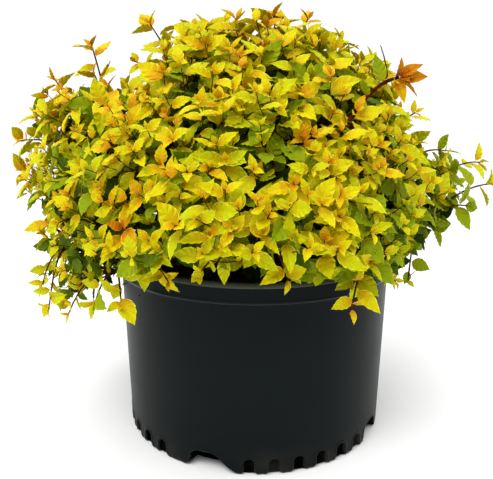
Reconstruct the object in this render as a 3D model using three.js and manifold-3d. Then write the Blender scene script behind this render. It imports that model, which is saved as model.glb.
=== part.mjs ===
// A golden-leaved spirea growing in a black nursery pot.
//
// The pot is one thin blow-moulded shell with a rim band, a rolled lip, narrow flutes round its foot
// and four wider drainage arches. Potting mix fills it to a little below the lip. A short woody stool
// stands on the mix, and from it a fountain of slender canes rises in three tiers. Each cane ends
// where it enters its own mass of foliage: a stem that forks into shoots, with leaves set in a spiral
// up each shoot.
//
// Units are millimetres and +Z is up. The origin is the centre of the pot's flat underside, and -Y is
// the side that the shrub is looked at from. Angles in the tables are in degrees: an azimuth is
// counted from +X towards +Y, and an elevation from the horizontal.

import * as THREE from "three";
import { mergeVertices } from "three/addons/utils/BufferGeometryUtils.js";
import Module from "manifold-3d";

const wasm = await Module();
wasm.setup();

// ---------------------------------------------------------------------------------------------
// Driving dimensions of the pot
// ---------------------------------------------------------------------------------------------

const POT_HEIGHT = 186;
const RIM_RADIUS = 140.5; // outside of the rim band
const RIM_BAND_HEIGHT = 19;
const LIP_REACH = 8; // how far the rolled lip comes in from the band's outside
const LIP_ROLL = 3; // how far the lip's outer edge lies below its crest
const BAND_STEP = 2; // how far the band stands out of the wall
const BAND_BEAD = 0.7; // how far the bead along the band's lower edge stands out of the band
const FOOT_RADIUS = 134; // outside of the wall just above the foot's rounding
const FOOT_ROUNDING = 3.5;
const SHELL = 2; // thickness of the moulded plastic
const POT_SIDES = 36;

const FLUTE = { width: 11, height: 17, depth: 4, segments: 2 };
const FLUTES_PER_QUARTER = 6;
const FLUTE_PITCH = 10.9; // degrees from one flute to the next
const ARCH = { width: 40, height: 15, depth: 17, segments: 3 };
const ARCHES = 4;
const FIRST_ARCH = -111; // azimuth of one arch's middle
const DRAIN = { radius: 5, inset: 10.5, length: 12, sides: 10 }; // inset is from the wall's outside
const CUTTER_RUN_OUT = 12; // how far a niche's cutter runs out past the wall

const MIX_BELOW_LIP = 24;
const MIX_CLEARANCE = 0.4; // between the potting mix and the shell

// ---------------------------------------------------------------------------------------------
// Driving dimensions of the shrub
// ---------------------------------------------------------------------------------------------

const TOUCH = 0.3; // gap left between pieces that touch

const STOOL_RADIUS = 30;
const STOOL_FLARE = 7; // how far the root flare spreads past the stool at the mix
const STOOL_SIDES = 16;

// The crown is an ellipsoid round the stool's foot, swollen or hollowed here and there.
const CROWN_REACH = { across: 236, deep: 208, up: 262 };
const SWELLS = [
  { azimuth: 180, elevation: 37, by: 44, spread: 16 }, // the full left shoulder
  { azimuth: 180, elevation: 12, by: -14, spread: 9 }, // the fold below it
  { azimuth: 0, elevation: 60, by: 10, spread: 8 }, // the right shoulder
  { azimuth: 0, elevation: 41, by: -26, spread: 9 }, // the hollow under it
  { azimuth: 0, elevation: 24, by: 30, spread: 9 }, // the long shoots below that hollow
  { azimuth: 30, elevation: -6, by: -52, spread: 17 }, // short foliage beside the rim on the right
  { azimuth: -30, elevation: -6, by: -52, spread: 17 },
];

// The lowest foliage, as an elevation from the stool's foot. It sinks past the rim where shoots weep.
const LOW_EDGE = 11;
const WEEPING = [
  { azimuth: 186, by: 22, spread: 40 },
  { azimuth: -50, by: 14, spread: 13 },
  { azimuth: 8, by: 6, spread: 26 },
  { azimuth: 88, by: 10, spread: 36 },
];

// Canes leave the stool in tiers. start is the elevation at the stool, and share is how much of the
// crown's reach the bare cane takes.
const TIERS = [
  { name: "skirt", canes: 10, turn: 14, start: 25, share: 0.56, radius: 3.0 },
  { name: "flank", canes: 7, turn: 36, start: 47, share: 0.5, radius: 3.4 },
  { name: "top", canes: 3, turn: -60, start: 74, share: 0.5, radius: 3.7 },
];
const SKIRT_CEILING = 27; // elevation where the skirt's foliage meets the flank's
const FLANK_AXIS = 44;
const TOP_AXIS = 72;
const RIM_CLEARING = 15; // least elevation of a cane's tip, which clears the lip

const CANE_SIDES = 5;
const CANE_STEPS = 3;
const CANE_ROOT_SHARE = 0.8; // a cane starts this far out in the stool, and is cut to fit it
const CANE_TIP_SHARE = 0.55; // a cane's radius at its tip, as a share of that at the stool
const CANE_BEND = 0.58; // how far along its starting direction a cane's bend lies
const CANE_SWAY = 5; // how far a cane bows sideways

const STEM_SHARE = 0.8; // a stem ends at this share of the crown's reach
const STEM_BEND = 0.45; // how far on from the cane's tip the stem's bend lies
const STEM_STEPS = 2;
const LOWEST_FORK = 0.15; // share of the stem's length below which no shoot forks
const DRAWN_IN = [0, 0.12, 0.24, 0.36, 0.5]; // how far a shoot may be turned towards the mass's middle
const SHOOT_RADIUS = 1.15;
const SHOOT_TIP_SHARE = 0.6;
const SHOOT_DIRECTIONS = 200; // spread evenly over a whole sphere, of which the crown takes its part

const LEAF = {
  length: 58,
  width: 38,
  thickness: 1.3,
  fold: 0.2, // how far the side corners lift, as a share of half the width
  droop: 0.08, // how far the tip sinks, as a share of the length
  widest: 0.45,
  variation: 0.16,
};
const LEAVES_PER_SHOOT = 5;
const LEAF_SPACING = 9; // along the shoot
const LEAF_HANG = 5; // degrees by which a leaf's tip may hang below the low edge
const LEAF_TURN = 137.5; // degrees round the shoot from one leaf to the next
const LEAF_OPENING = { lowest: 86, top: 36 }; // angle between leaf and shoot
const LEAF_TRIES = { turns: [0, 35, -35, 70, -70], sizes: [1, 0.82, 0.66] };
const TIP_ALLOWANCE = 0.66; // share of a leaf's length by which a shoot stops short of the outline

// The heart of a mass: its sides, widest spread from the middle in degrees, least distance from the
// shared planes, its rim and crest as shares of the crown's reach, and its start along the stem.
const HEART = { sides: 9, spread: 27, inset: 1.5, rim: 0.7, crest: 0.77, start: 0.08 };

const SPACE_GAP = 0.4; // between a mass and the plane it shares with its neighbour
const SHOOT_INSET = 6; // least distance of a shoot's tip from such a plane
const POT_GAP = { beside: 4, above: 3 };

const COLOURS = {
  pot: { color: 0x1b1f20, roughness: 0.42, metalness: 0 },
  mix: { color: 0x2a1f17, roughness: 0.95, metalness: 0 },
  bark: { color: 0x54301f, roughness: 0.8, metalness: 0 },
  skirt: { color: 0xa3a51c, roughness: 0.55, metalness: 0 },
  flank: { color: 0xd8be18, roughness: 0.55, metalness: 0 },
  top: { color: 0xdcae1c, roughness: 0.55, metalness: 0 },
};

// ---------------------------------------------------------------------------------------------
// Small tools
// ---------------------------------------------------------------------------------------------

const rad = THREE.MathUtils.degToRad;
const point = (x, y, z) => new THREE.Vector3(x, y, z);
const mix = (a, b, t) => a.clone().lerp(b, t);

// The smallest angle between two directions given in degrees.
function turnBetween(a, b) {
  return Math.abs(((((a - b) % 360) + 540) % 360) - 180);
}

// A unit vector from an azimuth and an elevation in degrees.
function heading(azimuth, elevation) {
  const flat = Math.cos(rad(elevation));
  return point(flat * Math.cos(rad(azimuth)), flat * Math.sin(rad(azimuth)), Math.sin(rad(elevation)));
}

const elevationOf = (direction) => THREE.MathUtils.radToDeg(Math.asin(direction.z));
const azimuthOf = (direction) => THREE.MathUtils.radToDeg(Math.atan2(direction.y, direction.x));

// A repeatable stream of numbers from 0 to 1 (the mulberry32 generator).
function randomStream(seed) {
  let state = seed >>> 0;
  return () => {
    state = (state + 0x6d2b79f5) >>> 0;
    let t = state;
    t = Math.imul(t ^ (t >>> 15), t | 1);
    t ^= t + Math.imul(t ^ (t >>> 7), t | 61);
    return ((t ^ (t >>> 14)) >>> 0) / 4294967296;
  };
}

// Two unit vectors square to a direction and to each other.
function squareTo(direction) {
  const helper = Math.abs(direction.z) < 0.9 ? point(0, 0, 1) : point(1, 0, 0);
  const side = helper.cross(direction).normalize();
  return [side, direction.clone().cross(side).normalize()];
}

// A closed BufferGeometry as a manifold-3d solid.
function solidOf(geometry) {
  const bare = new THREE.BufferGeometry();
  bare.setAttribute("position", geometry.getAttribute("position"));
  bare.setIndex(geometry.index);
  const merged = mergeVertices(bare, 1e-4);
  return new wasm.Manifold(
    new wasm.Mesh({
      numProp: 3,
      vertProperties: new Float32Array(merged.attributes.position.array),
      triVerts: new Uint32Array(merged.index.array),
    }),
  );
}

// A closed solid from a list of points and a list of corner triples.
function solidFrom(points, faces) {
  const geometry = new THREE.BufferGeometry().setFromPoints(points);
  geometry.setIndex(faces.flat());
  return solidOf(geometry);
}

// A manifold-3d solid as a flat-shaded BufferGeometry.
function geometryOf(solid) {
  const made = solid.getMesh();
  const geometry = new THREE.BufferGeometry();
  geometry.setAttribute("position", new THREE.BufferAttribute(new Float32Array(made.vertProperties), 3));
  geometry.setIndex(new THREE.BufferAttribute(new Uint32Array(made.triVerts), 1));
  const flat = geometry.toNonIndexed();
  flat.computeVertexNormals();
  return flat;
}

// The largest connected body of a solid.
function largestBody(solid) {
  return solid.decompose().reduce((best, body) => (body.volume() > best.volume() ? body : best));
}

function meshOf(name, solid, look) {
  const mesh = new THREE.Mesh(geometryOf(solid), new THREE.MeshStandardMaterial(look));
  mesh.name = name;
  return mesh;
}

// A solid of revolution about Z from a profile of [radius, height] pairs that starts and ends on the axis.
function turned(profile, sides) {
  const flat = profile.map(([r, z]) => new THREE.Vector2(r, z));
  const lathe = new THREE.LatheGeometry(flat, sides);
  lathe.rotateX(Math.PI / 2);
  return solidOf(lathe);
}

// A tapering limb along a curve: rings of so many sides, square to the curve, with a flat cap at each end.
function limb(curve, steps, fromRadius, toRadius, sides) {
  const points = [];
  const faces = [];
  let [side] = squareTo(curve.getTangent(0));
  for (let i = 0; i <= steps; i++) {
    const t = i / steps;
    const onward = curve.getTangent(t);
    side = side.clone().addScaledVector(onward, -side.dot(onward)).normalize();
    const other = onward.clone().cross(side);
    const radius = THREE.MathUtils.lerp(fromRadius, toRadius, t);
    for (let k = 0; k < sides; k++) {
      const angle = (2 * Math.PI * k) / sides;
      const out = side.clone().multiplyScalar(Math.cos(angle)).addScaledVector(other, Math.sin(angle));
      points.push(curve.getPoint(t).addScaledVector(out, radius));
    }
  }
  for (let i = 0; i < steps; i++) {
    for (let k = 0; k < sides; k++) {
      const a = i * sides + k;
      const b = i * sides + ((k + 1) % sides);
      faces.push([a, b, b + sides], [a, b + sides, a + sides]);
    }
  }
  const last = steps * sides;
  for (let k = 1; k + 1 < sides; k++) {
    faces.push([0, k + 1, k], [last, last + k, last + k + 1]);
  }
  return solidFrom(points, faces);
}

// ---------------------------------------------------------------------------------------------
// The pot and its potting mix
// ---------------------------------------------------------------------------------------------

const BAND_FOOT = POT_HEIGHT - RIM_BAND_HEIGHT;
const WALL_TOP_RADIUS = RIM_RADIUS - BAND_STEP;
const LIP_INNER_RADIUS = RIM_RADIUS - LIP_REACH;

// Outside radius of the plain wall at a height.
function wallRadius(z) {
  return FOOT_RADIUS + ((WALL_TOP_RADIUS - FOOT_RADIUS) * z) / BAND_FOOT;
}

// The pot as a solid block: foot rounding, tapering wall, band with its bead, and rolled lip.
function potOutside() {
  return turned(
    [
      [0, 0],
      [FOOT_RADIUS - FOOT_ROUNDING, 0],
      [wallRadius(FOOT_ROUNDING), FOOT_ROUNDING],
      [WALL_TOP_RADIUS, BAND_FOOT - 1],
      [RIM_RADIUS + BAND_BEAD, BAND_FOOT + 1],
      [RIM_RADIUS, BAND_FOOT + 3],
      [RIM_RADIUS, POT_HEIGHT - LIP_ROLL],
      [RIM_RADIUS - 0.3 * LIP_REACH, POT_HEIGHT - 0.3 * LIP_ROLL],
      [RIM_RADIUS - 0.7 * LIP_REACH, POT_HEIGHT],
      [0, POT_HEIGHT],
    ],
    POT_SIDES,
  );
}

// What is hollowed out of that block, from the floor up past the lip. The wall is drawn in behind the
// flutes, as far as they go up it.
const FLUTE_BACK_RADIUS = FOOT_RADIUS - FLUTE.depth - SHELL;
const FLUTE_TOP = FLUTE.height + SHELL;
function potInside() {
  return turned(
    [
      [0, SHELL],
      [FLUTE_BACK_RADIUS, SHELL],
      [FLUTE_BACK_RADIUS, FLUTE_TOP],
      [wallRadius(FLUTE_TOP) - SHELL, FLUTE_TOP + FLUTE.depth],
      [WALL_TOP_RADIUS - SHELL, BAND_FOOT - 4],
      [LIP_INNER_RADIUS, BAND_FOOT + 1],
      [LIP_INNER_RADIUS, POT_HEIGHT - 1],
      [LIP_INNER_RADIUS + 1, POT_HEIGHT + 1],
      [0, POT_HEIGHT + 1],
    ],
    POT_SIDES,
  );
}

// A niche with a round top that opens at the foot: what a flute or an arch takes out of the wall.
// grow makes the same niche larger all round, for the inner skin behind it.
function niche({ width, height, depth, segments }, azimuth, grow) {
  const half = width / 2 + grow;
  const rise = Math.min(half, 0.8 * height);
  const below = -1;
  const outline = new THREE.Shape();
  outline.moveTo(-half, below);
  outline.lineTo(half, below);
  outline.lineTo(half, height + grow - rise);
  outline.absellipse(0, height + grow - rise, half, rise, 0, Math.PI, false);
  const cutter = new THREE.ExtrudeGeometry(outline, {
    depth: depth + grow + CUTTER_RUN_OUT,
    bevelEnabled: false,
    curveSegments: segments,
  });
  // Stand the outline up, and run it from inside the wall outwards.
  cutter.rotateX(Math.PI / 2);
  cutter.rotateZ(Math.PI / 2);
  cutter.translate(FOOT_RADIUS - depth - grow, 0, 0);
  cutter.rotateZ(rad(azimuth));
  return solidOf(cutter);
}

// The azimuths of all flutes: one even group between each arch and the next.
function fluteAzimuths() {
  const found = [];
  for (let a = 0; a < ARCHES; a++) {
    const middle = FIRST_ARCH + (360 / ARCHES) * (a + 0.5);
    for (let k = 0; k < FLUTES_PER_QUARTER; k++) {
      found.push(middle + FLUTE_PITCH * (k - (FLUTES_PER_QUARTER - 1) / 2));
    }
  }
  return found;
}

function archAzimuths() {
  return Array.from({ length: ARCHES }, (_, a) => FIRST_ARCH + (360 / ARCHES) * a);
}

// A hole through the ceiling of an arch, for water to leave by.
function drain(azimuth) {
  const bore = new THREE.CylinderGeometry(DRAIN.radius, DRAIN.radius, DRAIN.length, DRAIN.sides);
  bore.rotateX(Math.PI / 2);
  bore.translate(FOOT_RADIUS - DRAIN.inset, 0, ARCH.height);
  bore.rotateZ(rad(azimuth));
  return solidOf(bore);
}

function makePot() {
  const flutes = fluteAzimuths().map((azimuth) => niche(FLUTE, azimuth, 0));
  const arches = archAzimuths().map((azimuth) => niche(ARCH, azimuth, 0));
  const archBacks = archAzimuths().map((azimuth) => niche(ARCH, azimuth, SHELL));
  const block = potOutside().subtract(wasm.Manifold.union([...flutes, ...arches]));
  const hollow = potInside().subtract(wasm.Manifold.union(archBacks));
  const drains = wasm.Manifold.union(archAzimuths().map(drain));
  return block.subtract(hollow).subtract(drains);
}

// The potting mix stands on the pot's floor, narrower where the niches come in.
const MIX_TOP = POT_HEIGHT - MIX_BELOW_LIP;
function makeMix() {
  const gap = SHELL + MIX_CLEARANCE;
  const shoulder = ARCH.height + SHELL + 4;
  const waist = FOOT_RADIUS - ARCH.depth - 2 * gap;
  return turned(
    [
      [0, SHELL + TOUCH],
      [waist, SHELL + TOUCH],
      [waist, shoulder],
      [wallRadius(shoulder) - gap, shoulder + 2],
      [wallRadius(MIX_TOP - 3) - gap, MIX_TOP - 3],
      [wallRadius(MIX_TOP) - gap - 3, MIX_TOP],
      [0, MIX_TOP],
    ],
    POT_SIDES,
  );
}

// ---------------------------------------------------------------------------------------------
// The crown: how far it reaches each way, and how it is shared out
// ---------------------------------------------------------------------------------------------

const FOOT = point(0, 0, MIX_TOP + TOUCH); // the stool's foot, which every direction is taken from

// How strongly a swelling acts at an angle from its middle: 1 there, and fading over its spread.
const fade = (angle, spread) => Math.exp(-0.5 * (angle / spread) ** 2);

function reachAlong(direction) {
  const { across, deep, up } = CROWN_REACH;
  const plain = 1 / Math.hypot(direction.x / across, direction.y / deep, direction.z / up);
  return SWELLS.reduce((reach, { azimuth, elevation, by, spread }) => {
    const angle = THREE.MathUtils.radToDeg(direction.angleTo(heading(azimuth, elevation)));
    return reach + by * fade(angle, spread);
  }, plain);
}

function lowEdge(azimuth) {
  return WEEPING.reduce(
    (edge, weeping) => edge - weeping.by * fade(turnBetween(azimuth, weeping.azimuth), weeping.spread),
    LOW_EDGE,
  );
}

// One entry for each cane and its mass: the direction of the mass's middle and the tier's sizes.
function layOutCanes() {
  return TIERS.flatMap((tier) =>
    Array.from({ length: tier.canes }, (_, k) => {
      const azimuth = tier.turn + (360 * k) / tier.canes;
      const elevation = {
        skirt: (lowEdge(azimuth) + SKIRT_CEILING) / 2,
        flank: FLANK_AXIS,
        top: TOP_AXIS,
      }[tier.name];
      return { tier, number: k + 1, azimuth, elevation, axis: heading(azimuth, elevation) };
    }),
  );
}

const CANES = layOutCanes();
CANES.forEach((cane, i) => {
  cane.random = randomStream(101 + 17 * i);
  cane.walls = CANES.filter((other) => other !== cane).map((other) =>
    cane.axis.clone().sub(other.axis).normalize(),
  );
});

// ---------------------------------------------------------------------------------------------
// Stool and canes
// ---------------------------------------------------------------------------------------------

// A low woody dome with a root flare, cut flat where it stands on the mix. grow makes it larger all round.
function makeStool(grow) {
  const radius = STOOL_RADIUS + grow;
  const profile = [[0, 0], [radius + STOOL_FLARE, 0], [radius + 0.35 * STOOL_FLARE, 3]];
  for (const elevation of [14, 36, 62]) {
    profile.push([radius * Math.cos(rad(elevation)), radius * Math.sin(rad(elevation))]);
  }
  profile.push([0, radius]);
  return turned(profile, STOOL_SIDES).translate([FOOT.x, FOOT.y, FOOT.z]);
}

// A cane bows out of the stool in one arch. Its last straight gives the way that its stem goes on.
function caneCurve(cane) {
  const { tier, azimuth } = cane;
  const tipElevation = Math.max(cane.elevation, RIM_CLEARING);
  const length = tier.share * reachAlong(heading(azimuth, tipElevation));
  const sideways = point(-Math.sin(rad(azimuth)), Math.cos(rad(azimuth)), 0);
  const start = heading(azimuth, tier.start);
  const from = FOOT.clone().addScaledVector(start, CANE_ROOT_SHARE * STOOL_RADIUS);
  const bend = FOOT.clone()
    .addScaledVector(start, CANE_BEND * length)
    .addScaledVector(sideways, CANE_SWAY * (2 * cane.random() - 1));
  const to = FOOT.clone().addScaledVector(heading(azimuth, tipElevation), length);
  return new THREE.QuadraticBezierCurve3(from, bend, to);
}

CANES.forEach((cane) => {
  cane.curve = caneCurve(cane);
  cane.tip = cane.curve.getPoint(1);
  cane.onward = cane.curve.getTangent(1).normalize();
  cane.tipRadius = cane.tier.radius * CANE_TIP_SHARE;
});

function makeCane(cane) {
  const whole = limb(cane.curve, CANE_STEPS, cane.tier.radius, cane.tipRadius, CANE_SIDES);
  return whole.subtract(makeStool(TOUCH));
}

// ---------------------------------------------------------------------------------------------
// Foliage
// ---------------------------------------------------------------------------------------------

// Whether a point is inside a mass's own space by at least inset: between the planes that it shares
// with its neighbours, beyond the end of its cane, and clear of the pot.
function inOwnSpace(cane, p, inset) {
  const fromFoot = p.clone().sub(FOOT);
  const besidePot = Math.hypot(p.x, p.y) > RIM_RADIUS + BAND_BEAD + POT_GAP.beside;
  return (
    cane.walls.every((wall) => fromFoot.dot(wall) > inset) &&
    p.clone().sub(cane.tip).dot(cane.onward) > TOUCH &&
    (besidePot || p.z > POT_HEIGHT + POT_GAP.above)
  );
}

// Whether a straight line, from a little way out of its start, is in the mass's own space.
function lineInSpace(cane, from, to, inset) {
  const onTheWay = [0.3, 0.5, 0.7, 0.85].map((t) => mix(from, to, t));
  return onTheWay.every((p) => inOwnSpace(cane, p, 0)) && inOwnSpace(cane, to, inset);
}

// The directions of all shoot tips, spread evenly by the golden angle, each with the cane it belongs to.
function shareOutShoots() {
  const golden = 180 * (3 - Math.sqrt(5));
  const shoots = new Map(CANES.map((cane) => [cane, []]));
  for (let k = 0; k < SHOOT_DIRECTIONS; k++) {
    const rise = 1 - (2 * k + 1) / SHOOT_DIRECTIONS;
    const direction = heading((golden * k) % 360, THREE.MathUtils.radToDeg(Math.asin(rise)));
    if (elevationOf(direction) < lowEdge(azimuthOf(direction))) continue;
    const nearest = CANES.reduce((a, b) => (direction.dot(b.axis) > direction.dot(a.axis) ? b : a));
    shoots.get(nearest).push(direction);
  }
  return shoots;
}

// The stem goes on from the cane's tip and turns towards the middle of the mass.
function stemCurve(cane) {
  const from = cane.tip.clone().addScaledVector(cane.onward, TOUCH);
  const to = FOOT.clone().addScaledVector(cane.axis, STEM_SHARE * reachAlong(cane.axis));
  const bend = from.clone().addScaledVector(cane.onward, STEM_BEND * from.distanceTo(to));
  return new THREE.QuadraticBezierCurve3(from, bend, to);
}

// The shoots of one mass. Each forks from the stem at a place of its own, the nearer to the stem's end
// the nearer its tip is to the middle of the mass, and runs straight to its tip. A tip too near a
// neighbour's space is drawn in towards the middle.
function forkShoots(cane, stem, directions) {
  const inward = [...directions].sort((a, b) => a.dot(cane.axis) - b.dot(cane.axis));
  const lines = inward.map((direction, i) => {
    const from = stem.getPoint(THREE.MathUtils.lerp(LOWEST_FORK, 1, (i + 0.5) / inward.length));
    return DRAWN_IN.map((drawn) => {
      const aim = mix(direction, cane.axis, drawn).normalize();
      const to = FOOT.clone().addScaledVector(aim, reachAlong(aim) - TIP_ALLOWANCE * LEAF.length);
      return new THREE.LineCurve3(from, to);
    }).find((line) => lineInSpace(cane, line.v1, line.v2, SHOOT_INSET));
  });
  return lines.filter(Boolean);
}

// The six corners of a leaf: root, one side, tip, other side, midrib above and midrib below.
function leafCorners(root, outwards, face, size) {
  const length = size * LEAF.length;
  const half = (size * LEAF.width) / 2;
  const side = face.clone().cross(outwards);
  const at = (share, across, lift) =>
    root
      .clone()
      .addScaledVector(outwards, share * length)
      .addScaledVector(side, across)
      .addScaledVector(face, lift);
  return [
    root.clone(),
    at(LEAF.widest, half, LEAF.fold * half),
    at(1, 0, -LEAF.droop * length),
    at(LEAF.widest, -half, LEAF.fold * half),
    at(LEAF.widest, 0, LEAF.thickness / 2),
    at(LEAF.widest, 0, -LEAF.thickness / 2),
  ];
}

const LEAF_FACES = [
  [0, 4, 1],
  [1, 4, 2],
  [2, 4, 3],
  [3, 4, 0],
  [0, 1, 5],
  [1, 2, 5],
  [2, 3, 5],
  [3, 0, 5],
];

// Whether all corners of a leaf, and the middles of its edges, are in the mass's own space, and its tip
// hangs no lower than the crown's low edge allows.
function leafInSpace(cane, corners) {
  const [root, left, tip, right] = corners;
  const toTip = tip.clone().sub(FOOT).normalize();
  if (elevationOf(toTip) < lowEdge(azimuthOf(toTip)) - LEAF_HANG) return false;
  const outline = [left, tip, right, mix(left, tip, 0.5), mix(right, tip, 0.5), mix(root, tip, 0.5)];
  return outline.every((p) => inOwnSpace(cane, p, SPACE_GAP));
}

// Whether a straight piece from a to b goes through either half of a leaf.
function pierces(a, b, [root, left, tip, right]) {
  const ray = new THREE.Ray(a, b.clone().sub(a).normalize());
  const length = a.distanceTo(b);
  return [left, right].some((side) => {
    const hit = ray.intersectTriangle(root, side, tip, false, point(0, 0, 0));
    return hit !== null && hit.distanceTo(a) < length;
  });
}

// The edges and midrib of a leaf, those from the root starting a little way out of the shoot.
function leafEdges([root, left, tip, right]) {
  const fromRoot = [left, right, tip].map((end) => [mix(root, end, 0.15), end]);
  return [...fromRoot, [left, tip], [right, tip]];
}

function leavesCross(one, other) {
  return (
    one[0].distanceTo(other[0]) < 2 * LEAF.length &&
    (leafEdges(one).some(([a, b]) => pierces(a, b, other)) ||
      leafEdges(other).some(([a, b]) => pierces(a, b, one)))
  );
}

// Where the leaves of one shoot go: in a spiral back from the tip, opening wider the lower they sit. A
// leaf that leaves the mass's space, or crosses a twig or another leaf, is turned round the shoot or made
// smaller, and left out if that doesn't help.
function setLeaves(cane, curve, twigs, leaves) {
  const length = curve.getLength();
  const firstTurn = 360 * cane.random();
  for (let k = 0; k < LEAVES_PER_SHOOT; k++) {
    const grown = 1 - LEAF.variation * cane.random();
    const back = LEAF_SPACING * k;
    if (back > 0.85 * length) break;
    const t = 1 - back / length;
    const onward = curve.getTangentAt(t);
    const [side, other] = squareTo(onward);
    const age = Math.sqrt(k / (LEAVES_PER_SHOOT - 1));
    const opening = rad(THREE.MathUtils.lerp(LEAF_OPENING.top, LEAF_OPENING.lowest, age));
    const root = curve.getPointAt(t).addScaledVector(onward, -0.5 * SHOOT_RADIUS);
    for (const size of LEAF_TRIES.sizes) {
      const fitting = LEAF_TRIES.turns
        .map((turn) => {
          const angle = rad(firstTurn + LEAF_TURN * k + turn);
          const out = side.clone().multiplyScalar(Math.cos(angle)).addScaledVector(other, Math.sin(angle));
          const outwards = onward
            .clone()
            .multiplyScalar(Math.cos(opening))
            .addScaledVector(out, Math.sin(opening));
          const face = onward.clone().addScaledVector(outwards, -onward.dot(outwards)).normalize();
          return leafCorners(root, outwards, face, size * grown);
        })
        .find(
          (corners) =>
            leafInSpace(cane, corners) &&
            !leaves.some((leaf) => leavesCross(corners, leaf)) &&
            !twigs.some(([a, b, of]) => of !== curve && pierces(a, b, corners)),
        );
      if (fitting) {
        leaves.push(fitting);
        break;
      }
    }
  }
}

// The dense heart of a mass, where leaves and twigs are too thick to see through: a faceted lens whose
// rim comes near the planes shared with the neighbours.
function heart(cane, stem) {
  const [side, other] = squareTo(cane.axis);
  const at = (direction, share) => FOOT.clone().addScaledVector(direction, share * reachAlong(direction));
  const start = stem.getPoint(HEART.start);
  const rim = Array.from({ length: HEART.sides }, (_, k) => {
    const turn = (2 * Math.PI * k) / HEART.sides;
    const out = side.clone().multiplyScalar(Math.cos(turn)).addScaledVector(other, Math.sin(turn));
    for (let spread = HEART.spread; ; spread -= 1) {
      const direction = cane.axis.clone().multiplyScalar(Math.cos(rad(spread)));
      direction.addScaledVector(out, Math.sin(rad(spread)));
      const p = at(direction, HEART.rim);
      const aboveEdge = elevationOf(direction) > lowEdge(azimuthOf(direction));
      if ((aboveEdge && lineInSpace(cane, start, p, HEART.inset)) || spread < 2) return p;
    }
  });
  const faces = rim.flatMap((_, k) => {
    const next = (k + 1) % HEART.sides;
    return [[k, next, HEART.sides], [next, k, HEART.sides + 1]];
  });
  return solidFrom([...rim, at(cane.axis, HEART.crest), start], faces);
}

// The straight pieces of a limb, each with the curve that it belongs to.
function straights(curve, steps) {
  const points = curve.getPoints(steps);
  return points.slice(1).map((p, i) => [points[i], p, curve]);
}

// One mass: the stem, its shoots and their leaves, fused into a single body.
function makeMass(cane, directions) {
  const stem = stemCurve(cane);
  const shoots = forkShoots(cane, stem, directions);
  const twigs = [...straights(stem, STEM_STEPS), ...shoots.flatMap((shoot) => straights(shoot, 1))];
  const leaves = [];
  shoots.forEach((shoot) => setLeaves(cane, shoot, twigs, leaves));
  return largestBody(
    wasm.Manifold.union([
      heart(cane, stem),
      limb(stem, STEM_STEPS, cane.tipRadius, SHOOT_RADIUS, 3),
      ...shoots.map((shoot) => limb(shoot, 1, SHOOT_RADIUS, SHOOT_TIP_SHARE * SHOOT_RADIUS, 3)),
      ...leaves.map((leaf) => solidFrom(leaf, LEAF_FACES)),
    ]),
  );
}

// ---------------------------------------------------------------------------------------------
// The whole plant
// ---------------------------------------------------------------------------------------------

const plant = new THREE.Group();
plant.add(meshOf("pot", makePot(), COLOURS.pot));
plant.add(meshOf("potting_mix", makeMix(), COLOURS.mix));
plant.add(meshOf("stool", makeStool(0), COLOURS.bark));

const shoots = shareOutShoots();
for (const cane of CANES) {
  const label = `${cane.tier.name}_${String(cane.number).padStart(2, "0")}`;
  plant.add(meshOf(`cane_${label}`, makeCane(cane), COLOURS.bark));
  plant.add(meshOf(`foliage_${label}`, makeMass(cane, shoots.get(cane)), COLOURS[cane.tier.name]));
}

export default plant;
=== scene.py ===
# %% [markdown]
# # A golden spirea in its nursery pot
#
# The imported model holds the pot, the potting mix, a woody stool, twenty canes and twenty masses of
# foliage as plain solids. This lesson dresses them. The canes get bark, and each mass is grown again by
# the rule that shaped the solids, carried on to fine twigs and several thousand small leaves.
# Everything is in metres, with +Z up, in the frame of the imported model, so nothing is fitted afterwards.

import math

import bpy
import numpy as np
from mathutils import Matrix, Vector, noise


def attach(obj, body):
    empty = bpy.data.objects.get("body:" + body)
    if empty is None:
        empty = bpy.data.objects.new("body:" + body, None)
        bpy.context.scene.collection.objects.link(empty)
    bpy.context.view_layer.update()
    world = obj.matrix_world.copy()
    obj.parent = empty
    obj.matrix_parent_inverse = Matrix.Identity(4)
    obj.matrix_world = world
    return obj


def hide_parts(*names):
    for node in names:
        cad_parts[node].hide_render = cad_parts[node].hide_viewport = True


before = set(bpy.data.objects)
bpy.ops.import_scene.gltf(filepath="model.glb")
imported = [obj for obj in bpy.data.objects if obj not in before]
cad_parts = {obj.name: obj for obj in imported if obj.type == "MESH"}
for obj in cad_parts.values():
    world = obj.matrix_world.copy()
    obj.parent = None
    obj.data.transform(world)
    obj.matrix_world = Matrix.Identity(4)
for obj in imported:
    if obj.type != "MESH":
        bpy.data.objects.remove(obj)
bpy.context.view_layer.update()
BODY = "root"
MM = 0.001

# %% [markdown]
# Every piece stands at the origin, unturned, and has its place in its mesh. Two small helpers make all the
# objects and the meshes, so that the cells below only say what is special about each.

# %% Helpers for objects and meshes
def add_object(name, data, *materials):
    """A new object in the scene, at the origin."""
    made = bpy.data.objects.new(name, data)
    for material in materials:
        data.materials.append(material)
    bpy.context.scene.collection.objects.link(made)
    return made


def plain_mesh(name, points, edges, faces):
    mesh = bpy.data.meshes.new(name)
    mesh.from_pydata(points, edges, faces)
    return mesh


print("objects and meshes have their helpers")

# %% [markdown]
# ## The camera
#
# A fixed camera stands a little above the plant and looks down on it by some thirteen degrees, as
# somebody does who bends over a potted shrub. It has no shift and no depth of field, so every other
# view shows the same plant. The lens is long enough that the pot's sides stay nearly upright.

# %% Place the camera
CAMERA_PLACE = (-8.5 * MM, -649 * MM, 347 * MM)
CAMERA_LOOKS_DOWN = 13.5  # degrees
CAMERA_LENS = 46.15  # mm, on a sensor 36 mm wide

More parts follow.
